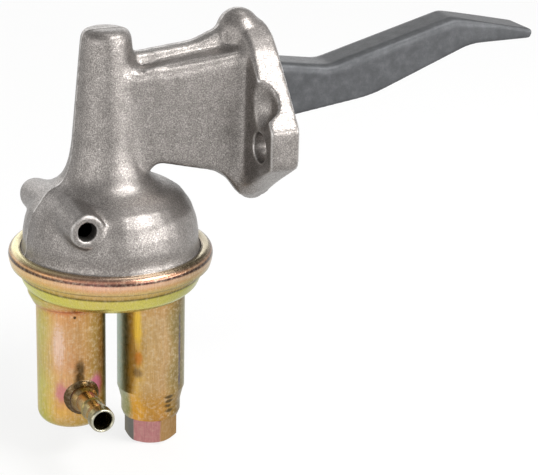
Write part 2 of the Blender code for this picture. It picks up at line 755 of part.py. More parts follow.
def inlet_nipple():
    """The hose nipple brazed into the inlet chamber, along the near side."""
    tip = NIPPLE_TIP
    seat = CAN_RADIUS + SEAT_GAP
    profile = [
        (NIPPLE_BORE, tip),
        (NIPPLE_BARB - 0.0004, tip),
        (NIPPLE_BARB, tip - 0.0005),
        (NIPPLE_BARB, tip - 0.0036),
        (NIPPLE_STEM, tip - 0.0062),
        (NIPPLE_STEM, tip - 0.0098),
        (NIPPLE_STEM + 0.0004, tip - 0.0104),
        (NIPPLE_STEM, tip - 0.0114),
        (NIPPLE_STEM, seat + 0.0024),
        (NIPPLE_COLLAR - 0.0003, seat + 0.0018),
        (NIPPLE_COLLAR, seat + 0.0012),
        (NIPPLE_COLLAR, seat),
        (NIPPLE_STEM, seat),
        (NIPPLE_STEM, CAN_RADIUS - CAN_SHEET - 0.0012),
        (NIPPLE_BORE, CAN_RADIUS - CAN_SHEET - 0.0012),
    ]
    body = turned("inlet_nipple", profile, (INLET_X, 0, NIPPLE_Z), SMALL_STEPS, SIDE_VIEW, closed=True)
    return as_part(body, "inlet_nipple", LOOKS["zinc plate"])


def outlet_can():
    """The open-ended chamber that is necked down onto the outlet fitting."""
    neck = OUTLET_NECK_RADIUS
    profile = [
        (CAN_RADIUS + OUTLET_FLARE, CAN_TOP_Z),
        (CAN_RADIUS + OUTLET_FLARE - 0.0001, CUP_FLOOR_Z + 0.0001),
        (CAN_RADIUS + 0.0009, CUP_FLOOR_Z - 0.0013),
        (CAN_RADIUS + 0.0002, CUP_FLOOR_Z - 0.0023),
        (CAN_RADIUS, CUP_FLOOR_Z - 0.0035),
        (CAN_RADIUS, OUTLET_NECK_Z),
        (CAN_RADIUS - 0.0004, OUTLET_NECK_Z - 0.0012),
        (neck + 0.0004, OUTLET_NECK_Z - 0.0036),
        (neck, OUTLET_NECK_Z - 0.0054),
        (neck, OUTLET_CAN_BOTTOM + 0.0014),
        (neck - 0.0004, OUTLET_CAN_BOTTOM + 0.0003),
        (neck - 0.0005, OUTLET_CAN_BOTTOM),
    ]
    body = shell("outlet_can", profile, CAN_SHEET, (OUTLET_X, 0, 0), 32)
    cut(body, turned("cup_over_outlet_can", cup_clearance(), (PUMP_X, 0, 0)))
    return as_part(body, "outlet_can", LOOKS["zinc plate"])


def outlet_fitting():
    """The hexagonal outlet fitting, with its barrel inside the chamber."""
    top = OUTLET_CAN_BOTTOM - SEAT_GAP
    bottom = top - HEX_HEIGHT
    corner = HEX_ACROSS_FLATS / 2 / math.cos(math.pi / 6)
    body = cylinder("outlet_fitting", corner, HEX_HEIGHT, (OUTLET_X, 0, (top + bottom) / 2),
                    (0, 0, math.pi / 6), 6)
    rim = HEX_ACROSS_FLATS / 2
    turned_form = turned("fitting_chamfer", [
        (0, top + CUT_MARGIN),
        (corner + CUT_MARGIN, top + CUT_MARGIN),
        (corner + CUT_MARGIN, bottom + CUT_MARGIN + HEX_CHAMFER * 2),
        (rim - 0.0003, bottom),
        (rim - 0.0003, bottom - CUT_MARGIN),
        (0, bottom - CUT_MARGIN),
    ], (OUTLET_X, 0, 0), 36)
    combine(body, turned_form, "INTERSECT")
    add(body, cylinder("fitting_barrel", FITTING_BARREL, FITTING_BARREL_LENGTH + HEX_HEIGHT / 2,
                       (OUTLET_X, 0, top - HEX_HEIGHT / 4 + FITTING_BARREL_LENGTH / 2), steps=28))
    length = HEX_HEIGHT + FITTING_BARREL_LENGTH + 2 * CUT_MARGIN
    cut(body, cylinder("outlet_port", OUTLET_PORT, length,
                       (OUTLET_X, 0, (bottom + top + FITTING_BARREL_LENGTH) / 2)))
    return as_part(body, "outlet_fitting", LOOKS["zinc plate"])


def valve(prefix, x, opens_up):
    """A check valve pressed into the cup's floor: body, disc, spring and bridge."""
    sign = 1 if opens_up else -1
    flange_top = CUP_FLOOR_Z + CUP_SHEET + SEAT_GAP + VALVE_WALL
    low = flange_top - VALVE_LENGTH
    middle = (flange_top + low) / 2
    half = VALVE_LENGTH / 2

    def level(height):
        """Height measured from the valve's middle along the way it opens."""
        return middle + sign * height

    flange = [
        (VALVE_FLANGE, flange_top),
        (VALVE_FLANGE, flange_top - VALVE_WALL),
        (VALVE_BARREL, flange_top - VALVE_WALL),
    ]
    inner = VALVE_BARREL - VALVE_WALL
    if opens_up:
        profile = flange + [(VALVE_BARREL, low), (VALVE_PORT, low), (VALVE_PORT, low + VALVE_WALL),
                            (inner, low + VALVE_WALL), (inner, flange_top)]
    else:
        profile = flange + [(VALVE_BARREL, low), (inner, low), (inner, flange_top - VALVE_WALL),
                            (VALVE_PORT, flange_top - VALVE_WALL), (VALVE_PORT, flange_top)]
    body = turned(f"{prefix}_valve_body", profile, (x, 0, 0), SMALL_STEPS, closed=True)
    as_part(body, f"{prefix}_valve_body", LOOKS["plain steel"])

    disc_level = VALVE_WALL - half + SEAT_GAP + VALVE_DISC_THICKNESS / 2
    disc = cylinder(f"{prefix}_valve_disc", VALVE_DISC, VALVE_DISC_THICKNESS, (x, 0, level(disc_level)))
    as_part(disc, f"{prefix}_valve_disc", LOOKS["valve rubber"])

    bridge_level = half - VALVE_WALL - VALVE_BRIDGE
    bridge = cylinder(f"{prefix}_valve_bridge", inner - SEAT_GAP, VALVE_BRIDGE, (x, 0, level(bridge_level)))
    for side in (-1, 1):
        bpy.ops.mesh.primitive_cube_add(size=1, location=(x + side * inner * 0.82, 0, level(bridge_level)))
        window = place(bpy.context.object, parts)
        window.name = f"{prefix}_bridge_window_{side}"
        window.scale = (inner, 4 * inner, 4 * VALVE_BRIDGE)
        cut(bridge, window)
    as_part(bridge, f"{prefix}_valve_bridge", LOOKS["plain steel"])

    near = level(disc_level + VALVE_DISC_THICKNESS / 2 + SEAT_GAP)
    far = level(bridge_level - VALVE_BRIDGE / 2 - SEAT_GAP)
    coil(f"{prefix}_valve_spring", VALVE_SPRING_RADIUS, VALVE_WIRE, 3.5, min(near, far), max(near, far),
         (x, 0, 0), LOOKS["spring steel"])


def diaphragm():
    """The fabric-reinforced rubber disc, dished down by its spring at rest."""
    outer = BASE_RADIUS - SEAT_GAP
    inner = ROD_RADIUS + SEAT_GAP
    top = DIAPHRAGM_TOP
    low = DIAPHRAGM_LOW
    slope_end = PLATE_RADIUS + 0.0016
    upper = [(outer, top), (DIAPHRAGM_CLAMP_RADIUS, top)]
    span = DIAPHRAGM_CLAMP_RADIUS - slope_end
    bend = []
    bend_steps = 4
    for index in range(1, bend_steps + 1):
        share = index / bend_steps
        drop = DIAPHRAGM_DISH * (1 - math.cos(math.pi * share)) / 2
        bend.append((DIAPHRAGM_CLAMP_RADIUS - span * share, top - drop))
    upper += bend + [(inner, low)]
    lower = [(radius, height - DIAPHRAGM_THICKNESS) for radius, height in upper]
    profile = [upper[0]] + lower + list(reversed(upper[1:]))
    body = turned("diaphragm", profile, (PUMP_X, 0, 0), ROUND_STEPS, closed=True)
    return as_part(body, "diaphragm", LOOKS["diaphragm rubber"])


def plate_washers():
    """The two dished washers that grip the middle of the diaphragm."""
    hole = ROD_RADIUS + SEAT_GAP
    for name, low, turn_up in (
            ("upper_diaphragm_plate", DIAPHRAGM_LOW + SEAT_GAP, 1),
            ("lower_diaphragm_plate", DIAPHRAGM_LOW - DIAPHRAGM_THICKNESS - SEAT_GAP - PLATE_THICKNESS, -1)):
        top = low + PLATE_THICKNESS
        lift = PLATE_RIM_RISE * turn_up
        profile = [
            (PLATE_RADIUS, top + lift),
            (PLATE_RADIUS, low + lift),
            (PLATE_RADIUS - PLATE_RIM, low),
            (hole, low),
            (hole, top),
            (PLATE_RADIUS - PLATE_RIM, top),
        ]
        body = turned(name, profile, (PUMP_X, 0, 0), 32, closed=True)
        as_part(body, name, LOOKS["plain steel"])


def pull_rod():
    """The rod from the link down to the diaphragm, riveted over at both ends."""
    seat_top = SPRING_SEAT_Z + SEAT_SHEET
    plates_top = DIAPHRAGM_LOW + SEAT_GAP + PLATE_THICKNESS + SEAT_GAP
    plates_low = DIAPHRAGM_LOW - DIAPHRAGM_THICKNESS - 2 * SEAT_GAP - PLATE_THICKNESS
    head_top = seat_top + SEAT_GAP + ROD_FLANGE_THICKNESS
    profile = [
        (0, head_top),
        (ROD_HEAD - 0.0006, head_top),
        (ROD_HEAD, head_top - 0.0005),
        (ROD_HEAD, seat_top + SEAT_GAP),
        (ROD_TENON, seat_top + SEAT_GAP),
        (ROD_TENON, SPRING_SEAT_Z - SEAT_GAP),
        (ROD_RADIUS, SPRING_SEAT_Z - SEAT_GAP),
        (ROD_RADIUS, plates_top + ROD_FLANGE_THICKNESS),
        (ROD_COLLAR, plates_top + ROD_FLANGE_THICKNESS),
        (ROD_COLLAR, plates_top),
        (ROD_RADIUS, plates_top),
        (ROD_RADIUS, plates_low - SEAT_GAP),
        (ROD_COLLAR, plates_low - SEAT_GAP),
        (ROD_COLLAR - 0.0005, plates_low - SEAT_GAP - ROD_FLANGE_THICKNESS),
        (0, plates_low - SEAT_GAP - ROD_FLANGE_THICKNESS),
    ]
    return as_part(turned("pull_rod", profile, (PUMP_X, 0, 0), 20), "pull_rod", LOOKS["plain steel"])


def rod_seal():
    """The rubber seal that keeps engine oil out of the dome, and its pressed-in retainer."""
    top = SEAL_TOP - SEAT_GAP
    low = top - SEAL_THICKNESS
    bore = ROD_RADIUS + ROD_GAP
    seal = turned("rod_seal", [
        (SEAL_RADIUS, top),
        (SEAL_RADIUS, low + 0.0012),
        (bore + 0.0018, low + 0.0012),
        (bore + 0.0012, low),
        (bore, low),
        (bore, top),
    ], (PUMP_X, 0, 0), SMALL_STEPS, closed=True)
    as_part(seal, "rod_seal", LOOKS["valve rubber"])
    held = low + 0.0012 - SEAT_GAP
    retainer = turned("seal_retainer", [
        (SEAL_RADIUS, held),
        (SEAL_RADIUS, held - RETAINER_THICKNESS),
        (bore + 0.0026, held - RETAINER_THICKNESS),
        (bore + 0.0026, held),
    ], (PUMP_X, 0, 0), SMALL_STEPS, closed=True)
    as_part(retainer, "seal_retainer", LOOKS["plain steel"])


def spring_seat():
    """The cupped washer between the link and the diaphragm spring."""
    low = SPRING_SEAT_Z
    top = low + SEAT_SHEET
    hole = ROD_TENON + SEAT_GAP
    body = turned("spring_seat", [
        (SEAT_RADIUS, top + 0.0010),
        (SEAT_RADIUS, low + 0.0008),
        (SEAT_RADIUS - 0.0008, low),
        (hole, low),
        (hole, top),
        (SEAT_RADIUS - 0.0004, top),
    ], (PUMP_X, 0, 0), SMALL_STEPS, closed=True)
    return as_part(body, "spring_seat", LOOKS["plain steel"])


def arm_top_chain():
    """Corners along the top of the arm, from its rear to its tip, as (x, z, radius)."""
    return [
        (PIVOT_X - ARM_EYE * 1.17, PIVOT_Z + ARM_EYE * 1.43, ARM_EYE * 0.43),
        (PIVOT_X - ARM_EYE * 0.14, PIVOT_Z + ARM_EYE * 2, ARM_EYE * 0.86),
        (ARM_ROOT_X, ARM_ROOT_Z, ARM_EYE * 1.43),
        (ARM_FLAT_X, ARM_FLAT_Z, ARM_EYE * 1.71),
        (ARM_KINK_X, ARM_KINK_Z, ARM_EYE * 1.71),
        (ARM_CREST_X, ARM_CREST_Z, ARM_EYE * 0.71),
        (ARM_TIP_X, ARM_TIP_TOP, ARM_SHEET / 2),
    ]


def arm_web_under(x):
    """Height of the underside of the arm's web at a place along it."""
    chain = arm_top_chain()
    for (x0, z0, _), (x1, z1, _) in zip(chain, chain[1:]):
        if x0 <= x <= x1:
            slope = (z1 - z0) / (x1 - x0)
            return z0 + slope * (x - x0) - ARM_SHEET * math.hypot(1, slope)
    raise ValueError("no web there")


def arm_web_pocket():
    """The inside of the channel: the top chain shifted in by the sheet, open below."""
    chain = arm_top_chain()
    shifted = []
    for index in range(len(chain) - 1):
        start = Vector(chain[index][:2])
        end = Vector(chain[index + 1][:2])
        along = (end - start).normalized()
        inward = Vector((along.y, -along.x)) * ARM_SHEET
        shifted.append((start + inward, end + inward))
    corners = [tuple(shifted[0][0] - (shifted[0][1] - shifted[0][0]) * 2)]
    for (a, b), (c, d) in zip(shifted, shifted[1:]):
        first = b - a
        second = d - c
        cross = first.x * second.y - first.y * second.x
        gap = c - a
        share = (gap.x * second.y - gap.y * second.x) / cross
        corners.append(tuple(a + first * share))
    last_a, last_b = shifted[-1]
    share = (ARM_POCKET_END - last_a.x) / (last_b.x - last_a.x)
    corners.append(tuple(last_a + (last_b - last_a) * share))
    floor = PIVOT_Z - 3 * ARM_EYE
    corners.append((ARM_POCKET_END, floor))
    corners.append((corners[0][0], floor))
    return plate("arm_web_pocket", corners, ARM_WIDTH - 2 * ARM_SHEET, SIDE_VIEW)


def rocker_arm():
    """The pressed-steel arm that rides on the engine's cam."""
    eye_low = PIVOT_Z - ARM_EYE
    outline = rounded(arm_top_chain() + [
        (ARM_TIP_X - ARM_SHEET * 0.36, ARM_TIP_BOTTOM, ARM_SHEET * 0.36),
        (ARM_CREST_X + ARM_EYE, ARM_TIP_BOTTOM - ARM_SHEET * 0.07, ARM_EYE * 3.1),
        (ARM_KINK_X + ARM_WIDTH * 1.07, ARM_KINK_Z - ARM_EYE * 1.71, ARM_EYE * 6.4),
        (ARM_FLAT_X + ARM_SHEET * 1.43, ARM_FLAT_Z - ARM_EYE * 2.67, ARM_EYE * 7.1),
        (PIVOT_X + ARM_EYE * 0.71, eye_low + ARM_EYE * 0.09, ARM_EYE * 1.43),
        (PIVOT_X - ARM_EYE * 0.86, eye_low - ARM_EYE * 0.06, ARM_EYE * 0.86),
        (PIVOT_X - ARM_EYE * 1.17, PIVOT_Z, ARM_EYE * 0.86),
    ], 4)
    body = plate("rocker_arm", outline, ARM_WIDTH, SIDE_VIEW)
    line = arm_top_chain()

    def on_top(point):
        """Full rounding along the arm's upper outline, short of its two ends."""
        for (x0, z0, _), (x1, z1, _) in zip(line[1:], line[2:]):
            if x0 < point.x < min(x1, ARM_TIP_X - ARM_BEND):
                height = z0 + (z1 - z0) * (point.x - x0) / (x1 - x0)
                return 1.0 if point.z > height - ARM_BEND else 0.0
        return 0.0

    soften(body, ARM_BEND, 3, on_top, 1)
    cut(body, arm_web_pocket())
    cut(body, cylinder("arm_pin_hole", PIN_RADIUS + PIN_GAP, 2 * ARM_WIDTH, (PIVOT_X, 0, PIVOT_Z),
                       SIDE_VIEW, 20))
    pivot = bpy.data.objects.new("arm_pivot_point", None)
    place(pivot, parts)
    pivot.location = (PIVOT_X, 0, PIVOT_Z)
    bpy.context.view_layer.update()
    body.parent = pivot
    body.matrix_parent_inverse = pivot.matrix_world.inverted()
    return as_part(body, "rocker_arm", LOOKS["arm steel"]), pivot


def pull_link(pivot):
    """The inner lever: its toe bears under the arm's web and its fork lifts the pull rod."""
    pad_middle = LINK_PAD_TOP - LINK_PAD_RADIUS
    toe_front = PIVOT_X + LINK_TOE_REACH
    toe_back = toe_front - LINK_TOE_LENGTH
    crown = toe_front - LINK_TOE_LENGTH / 8
    outline = rounded([
        (PUMP_X - LINK_PAD_RADIUS, LINK_PAD_TOP, LINK_PAD_RADIUS * 0.98),
        (PUMP_X + LINK_PAD_RADIUS * 1.1, LINK_PAD_TOP, LINK_PAD_RADIUS),
        (PUMP_X + LINK_PAD_RADIUS * 2, LINK_PAD_TOP - LINK_PAD_RADIUS * 0.4, LINK_PAD_RADIUS * 0.7),
        (PIVOT_X - LINK_EYE * 1.53, PIVOT_Z + LINK_EYE * 0.58, LINK_EYE),
        (PIVOT_X + LINK_EYE * 0.16, PIVOT_Z + LINK_EYE, LINK_EYE * 0.65),
        (toe_back, arm_web_under(toe_back) - 2 * SEAT_GAP, LINK_TOE_LENGTH * 0.25),
        (crown, arm_web_under(crown) - SEAT_GAP, LINK_TOE_LENGTH * 0.17),
        (toe_front, PIVOT_Z + LINK_EYE * 1.13, LINK_EYE / 2),
        (PIVOT_X + LINK_EYE, PIVOT_Z - LINK_EYE * 0.97, LINK_EYE * 0.8),
        (PIVOT_X - LINK_EYE, PIVOT_Z - LINK_EYE * 1.03, LINK_EYE * 0.8),
        (PUMP_X + LINK_PAD_RADIUS * 2.3, pad_middle - LINK_PAD_RADIUS, LINK_PAD_RADIUS * 2),
        (PUMP_X - LINK_PAD_RADIUS, pad_middle - LINK_PAD_RADIUS, LINK_PAD_RADIUS * 0.98),
    ], 4)
    width = ARM_WIDTH - 2 * ARM_SHEET - 2 * SEAT_GAP
    body = plate("pull_link", outline, width, SIDE_VIEW)
    bpy.ops.mesh.primitive_cube_add(size=1, location=(PUMP_X - LINK_PAD_RADIUS / 2, 0, pad_middle))
    fork = place(bpy.context.object, parts)
    fork.name = "link_fork"
    fork.scale = (LINK_PAD_RADIUS + 2 * LINK_FORK + 0.0012, 2 * LINK_FORK, 8 * LINK_PAD_RADIUS)
    cut(body, fork)
    cut(body, cylinder("link_pin_hole", PIN_RADIUS + PIN_GAP, 2 * ARM_WIDTH, (PIVOT_X, 0, PIVOT_Z),
                       SIDE_VIEW, 20))
    body.parent = pivot
    body.matrix_parent_inverse = pivot.matrix_world.inverted()
    return as_part(body, "pull_link", LOOKS["plain steel"])


def rocker_pin():
    """The pin that the arm and the link turn on, and the plug that closes its bore."""
    pin = cylinder("rocker_pin", PIN_RADIUS, 2 * PIN_HALF_LENGTH, (PIVOT_X, 0, PIVOT_Z), SIDE_VIEW, 20)
    as_part(pin, "rocker_pin", LOOKS["plain steel"])
    plug_inner = PIN_HALF_LENGTH + SEAT_GAP
    plug = turned("pin_plug", [
        (0, -plug_inner),
        (PIN_RADIUS, -plug_inner),
        (PIN_RADIUS, -plug_inner - PLUG_THICKNESS),
        (PIN_RADIUS * 0.72, -plug_inner - PLUG_THICKNESS),
        (PIN_RADIUS * 0.55, -plug_inner - PLUG_THICKNESS / 2),
        (0, -plug_inner - PLUG_THICKNESS / 2),
    ], (PIVOT_X, 0, PIVOT_Z), 20, SIDE_VIEW)
    as_part(plug, "pin_plug", LOOKS["plain steel"])


def springs():
    """The diaphragm spring in the tower and the arm's return spring at the flange."""
    low = SPRING_SEAT_Z + SEAT_SHEET + SEAT_GAP
    coil("diaphragm_spring", DIAPHRAGM_SPRING_RADIUS, DIAPHRAGM_SPRING_WIRE, DIAPHRAGM_SPRING_TURNS,
         low, TOWER_BORE_TOP - SEAT_GAP, (PUMP_X, 0, 0), LOOKS["spring steel"])
    web_under = arm_web_under(RETURN_SPRING_X)
    coil("arm_return_spring", RETURN_SPRING_RADIUS, RETURN_SPRING_WIRE, RETURN_SPRING_TURNS,
         RETURN_POCKET_Z + SEAT_GAP, web_under - SEAT_GAP, (RETURN_SPRING_X, 0, 0), LOOKS["spring steel"])


clear_scene()
parts = collection("mechanical_fuel_pump")
cutters = collection("cutters")

LOOKS = {
    "cast aluminium": finish("cast aluminium", (0.55, 0.54, 0.52), 0.42, 0.85),
    "zinc plate": finish("zinc plate", (0.72, 0.58, 0.28), 0.28, 0.9),
    "arm steel": finish("arm steel", (0.13, 0.13, 0.135), 0.5, 0.7),
    "plain steel": finish("plain steel", (0.50, 0.50, 0.50), 0.35, 0.95),
    "spring steel": finish("spring steel", (0.32, 0.32, 0.33), 0.35, 0.95),
    "valve rubber": finish("valve rubber", (0.04, 0.04, 0.04), 0.7, 0.0),
    "diaphragm rubber": finish("diaphragm rubber", (0.09, 0.07, 0.055), 0.75, 0.0),
}

housing()
lower_cup()
inlet_can()
inlet_nipple()
outlet_can()
outlet_fitting()
valve("inlet", INLET_X, True)
valve("outlet", OUTLET_X, False)
diaphragm()
plate_washers()
pull_rod()
rod_seal()
spring_seat()
arm, arm_pivot_point = rocker_arm()
pull_link(arm_pivot_point)
rocker_pin()
springs()
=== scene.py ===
"""The look of the mechanical fuel pump: cast fillets, sheet metal, springs, finishes, camera and light.

Every size is in metres in the CAD frame: +X out of the mounting face, +Z up the pump's own axis.
"""

import logging
import math
from dataclasses import dataclass, field
from enum import Enum
from typing import Any, Callable, Optional, Sequence

import bpy
import numpy as np
from mathutils import Matrix, Vector


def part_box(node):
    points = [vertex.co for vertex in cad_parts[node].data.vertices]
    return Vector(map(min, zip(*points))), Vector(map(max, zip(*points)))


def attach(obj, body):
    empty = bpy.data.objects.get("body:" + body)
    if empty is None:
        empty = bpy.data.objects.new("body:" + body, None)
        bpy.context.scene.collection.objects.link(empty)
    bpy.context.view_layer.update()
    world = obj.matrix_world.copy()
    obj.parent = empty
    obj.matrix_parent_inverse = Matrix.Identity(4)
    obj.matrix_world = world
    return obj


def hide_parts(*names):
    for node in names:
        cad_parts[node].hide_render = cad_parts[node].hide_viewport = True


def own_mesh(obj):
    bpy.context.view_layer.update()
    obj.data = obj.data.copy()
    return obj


logging.basicConfig(level=logging.INFO, format="%(message)s")
LOG = logging.getLogger("fuel_pump")

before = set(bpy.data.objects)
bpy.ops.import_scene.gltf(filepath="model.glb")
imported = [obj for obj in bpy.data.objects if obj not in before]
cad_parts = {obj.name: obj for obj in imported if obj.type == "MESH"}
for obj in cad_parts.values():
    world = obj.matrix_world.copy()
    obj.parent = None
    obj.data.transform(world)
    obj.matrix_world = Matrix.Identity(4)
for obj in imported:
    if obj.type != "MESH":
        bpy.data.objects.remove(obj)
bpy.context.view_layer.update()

MM = 0.001
MERGE_DISTANCE = 0.002 * MM   # turned profiles close on their axis
Profile = list[tuple[float, float]]
Triple = tuple[float, float, float]   # a place, a direction, a turn or a size
Section = tuple[Triple, ...]          # (radius, height, fillet) of each corner in millimetres

SIDEWAYS = math.pi / 2         # tilts a profile's axis from Z to -Y
STRAIGHT = math.radians(89)    # a corner whose half angle is wider than this needs no fillet
FILLET_REACH = 0.49            # a fillet takes up at most this share of an edge
PUMP_X = -53.0 * MM
INLET_X = -67.5 * MM
OUTLET_X = -38.5 * MM
NIPPLE_Z = -85.8 * MM
CHAMBER_RADIUS = 11.7 * MM


class Body(Enum):
    """The bodies of the CAD model that new pieces ride on."""

    PUMP = "pump_body"
    ROCKER = "rocker"


class Slot(Enum):
    """Material slots of the record."""

    CAST = "cast_aluminium"
    ZINC = "zinc_plate"
    ARM = "arm_steel"
    STEEL = "plain_steel"
    SPRING = "spring_steel"
    RUBBER = "valve_rubber"
    FABRIC = "diaphragm_rubber"


def linear(colour: str) -> tuple[float, float, float, float]:
    """Turn an sRGB hex colour into linear values.

    Args:
        colour: six hex digits, with or without a leading #.

    Returns:
        Linear red, green, blue and an alpha of 1.
    """
    digits = colour.lstrip("#")
    channels = [int(digits[start:start + 2], 16) / 255 for start in (0, 2, 4)]
    flat = [value / 12.92 if value <= 0.04045 else ((value + 0.055) / 1.055) ** 2.4 for value in channels]
    return (flat[0], flat[1], flat[2], 1.0)


def add_node(tree: bpy.types.NodeTree, kind: str, settings: Optional[dict[str, Any]] = None,
             sockets: Optional[dict[Any, Any]] = None) -> bpy.types.Node:
    """Add one shader node with its settings, values and links.

    Args:
        tree: the material's node tree.
        kind: the node's type name.
        settings: attribute names and values; "stops" holds a ramp's (position, hex colour) pairs.
        sockets: input names or numbers, each with a value or with an output socket to link from.

    Returns:
        The new node.
    """
    node = tree.nodes.new(kind)
    for key, value in (settings or {}).items():
        if key == "stops":
            stops = node.color_ramp.elements
            stops.remove(stops[-1])
            stops[0].position = value[0][0]
            stops[0].color = linear(value[0][1])
            for position, colour in value[1:]:
                stops.new(position).color = linear(colour)
        else:
            setattr(node, key, value)
    for key, value in (sockets or {}).items():
        if isinstance(value, bpy.types.NodeSocket):
            tree.links.new(value, node.inputs[key])
        else:
            node.inputs[key].default_value = value
    return node


def per_metre(size_mm: float) -> float:
    """Texture scale for a cloud of a size given in millimetres; a wave repeats 3.2 times in it."""
    return 1.0 / (size_mm * MM)


@dataclass(frozen=True)
class Finish:
    """A procedural finish; each kind fills in its own nodes.

    Attributes:
        name: the material's name.
        slot: the record's slot that it stands for; not used.
        metallic: 1 for a bare or plated metal.
        roughness: the middle of the roughness range.
    """

    name: str
    slot: Slot
    metallic: float
    roughness: float

    def material(self) -> bpy.types.Material:
        """Find the material, or make it on first use.

        Returns:
            The material.
        """
        made = bpy.data.materials.get(self.name)
        if made is None:
            made = bpy.data.materials.new(self.name)
            made.use_nodes = True
            tree = made.node_tree
            shader = tree.nodes["Principled BSDF"]
            shader.inputs["Metallic"].default_value = self.metallic
            shader.inputs["Roughness"].default_value = self.roughness
            self.dress(tree, shader)
        return made

    def dress(self, tree: bpy.types.NodeTree, shader: bpy.types.Node) -> None:
        """Add the finish's own nodes.

        Args:
            tree: the material's node tree.
            shader: its principled shader.
        """
        raise NotImplementedError

    def cloud(self, tree: bpy.types.NodeTree, shader: bpy.types.Node, size_mm: float,
              tones: Sequence[tuple[float, str]]) -> bpy.types.NodeSocket:
        """Colour the shader in soft clouds of two tones.

        Args:
            tree: the material's node tree.
            shader: its principled shader.
            size_mm: the clouds' size.
            tones: where in the pattern each tone stands, and its colour.

        Returns:
            The pattern, 0 to 1.
        """
        place = add_node(tree, "ShaderNodeTexCoord").outputs["Object"]
        clouds = add_node(tree, "ShaderNodeTexNoise", None, {
            "Vector": place, "Scale": per_metre(size_mm), "Detail": 4.0}).outputs["Fac"]
        tone = add_node(tree, "ShaderNodeValToRGB", {"stops": list(tones)}, {"Fac": clouds})
        tree.links.new(tone.outputs["Color"], shader.inputs["Base Color"])
        return clouds

    def bump(self, tree: bpy.types.NodeTree, shader: bpy.types.Node, height: bpy.types.NodeSocket,
             depth_mm: float, strength: float = 1.0) -> None:
        """Drive the shader's normal by a height pattern of a real depth.

        Args:
            tree: the material's node tree.
            shader: its principled shader.
            height: the pattern, 0 to 1.
            depth_mm: the pattern's depth.
            strength: how much of it shows.
        """
        node = add_node(tree, "ShaderNodeBump", None,
                        {"Height": height, "Distance": depth_mm * MM, "Strength": strength})
        tree.links.new(node.outputs["Normal"], shader.inputs["Normal"])


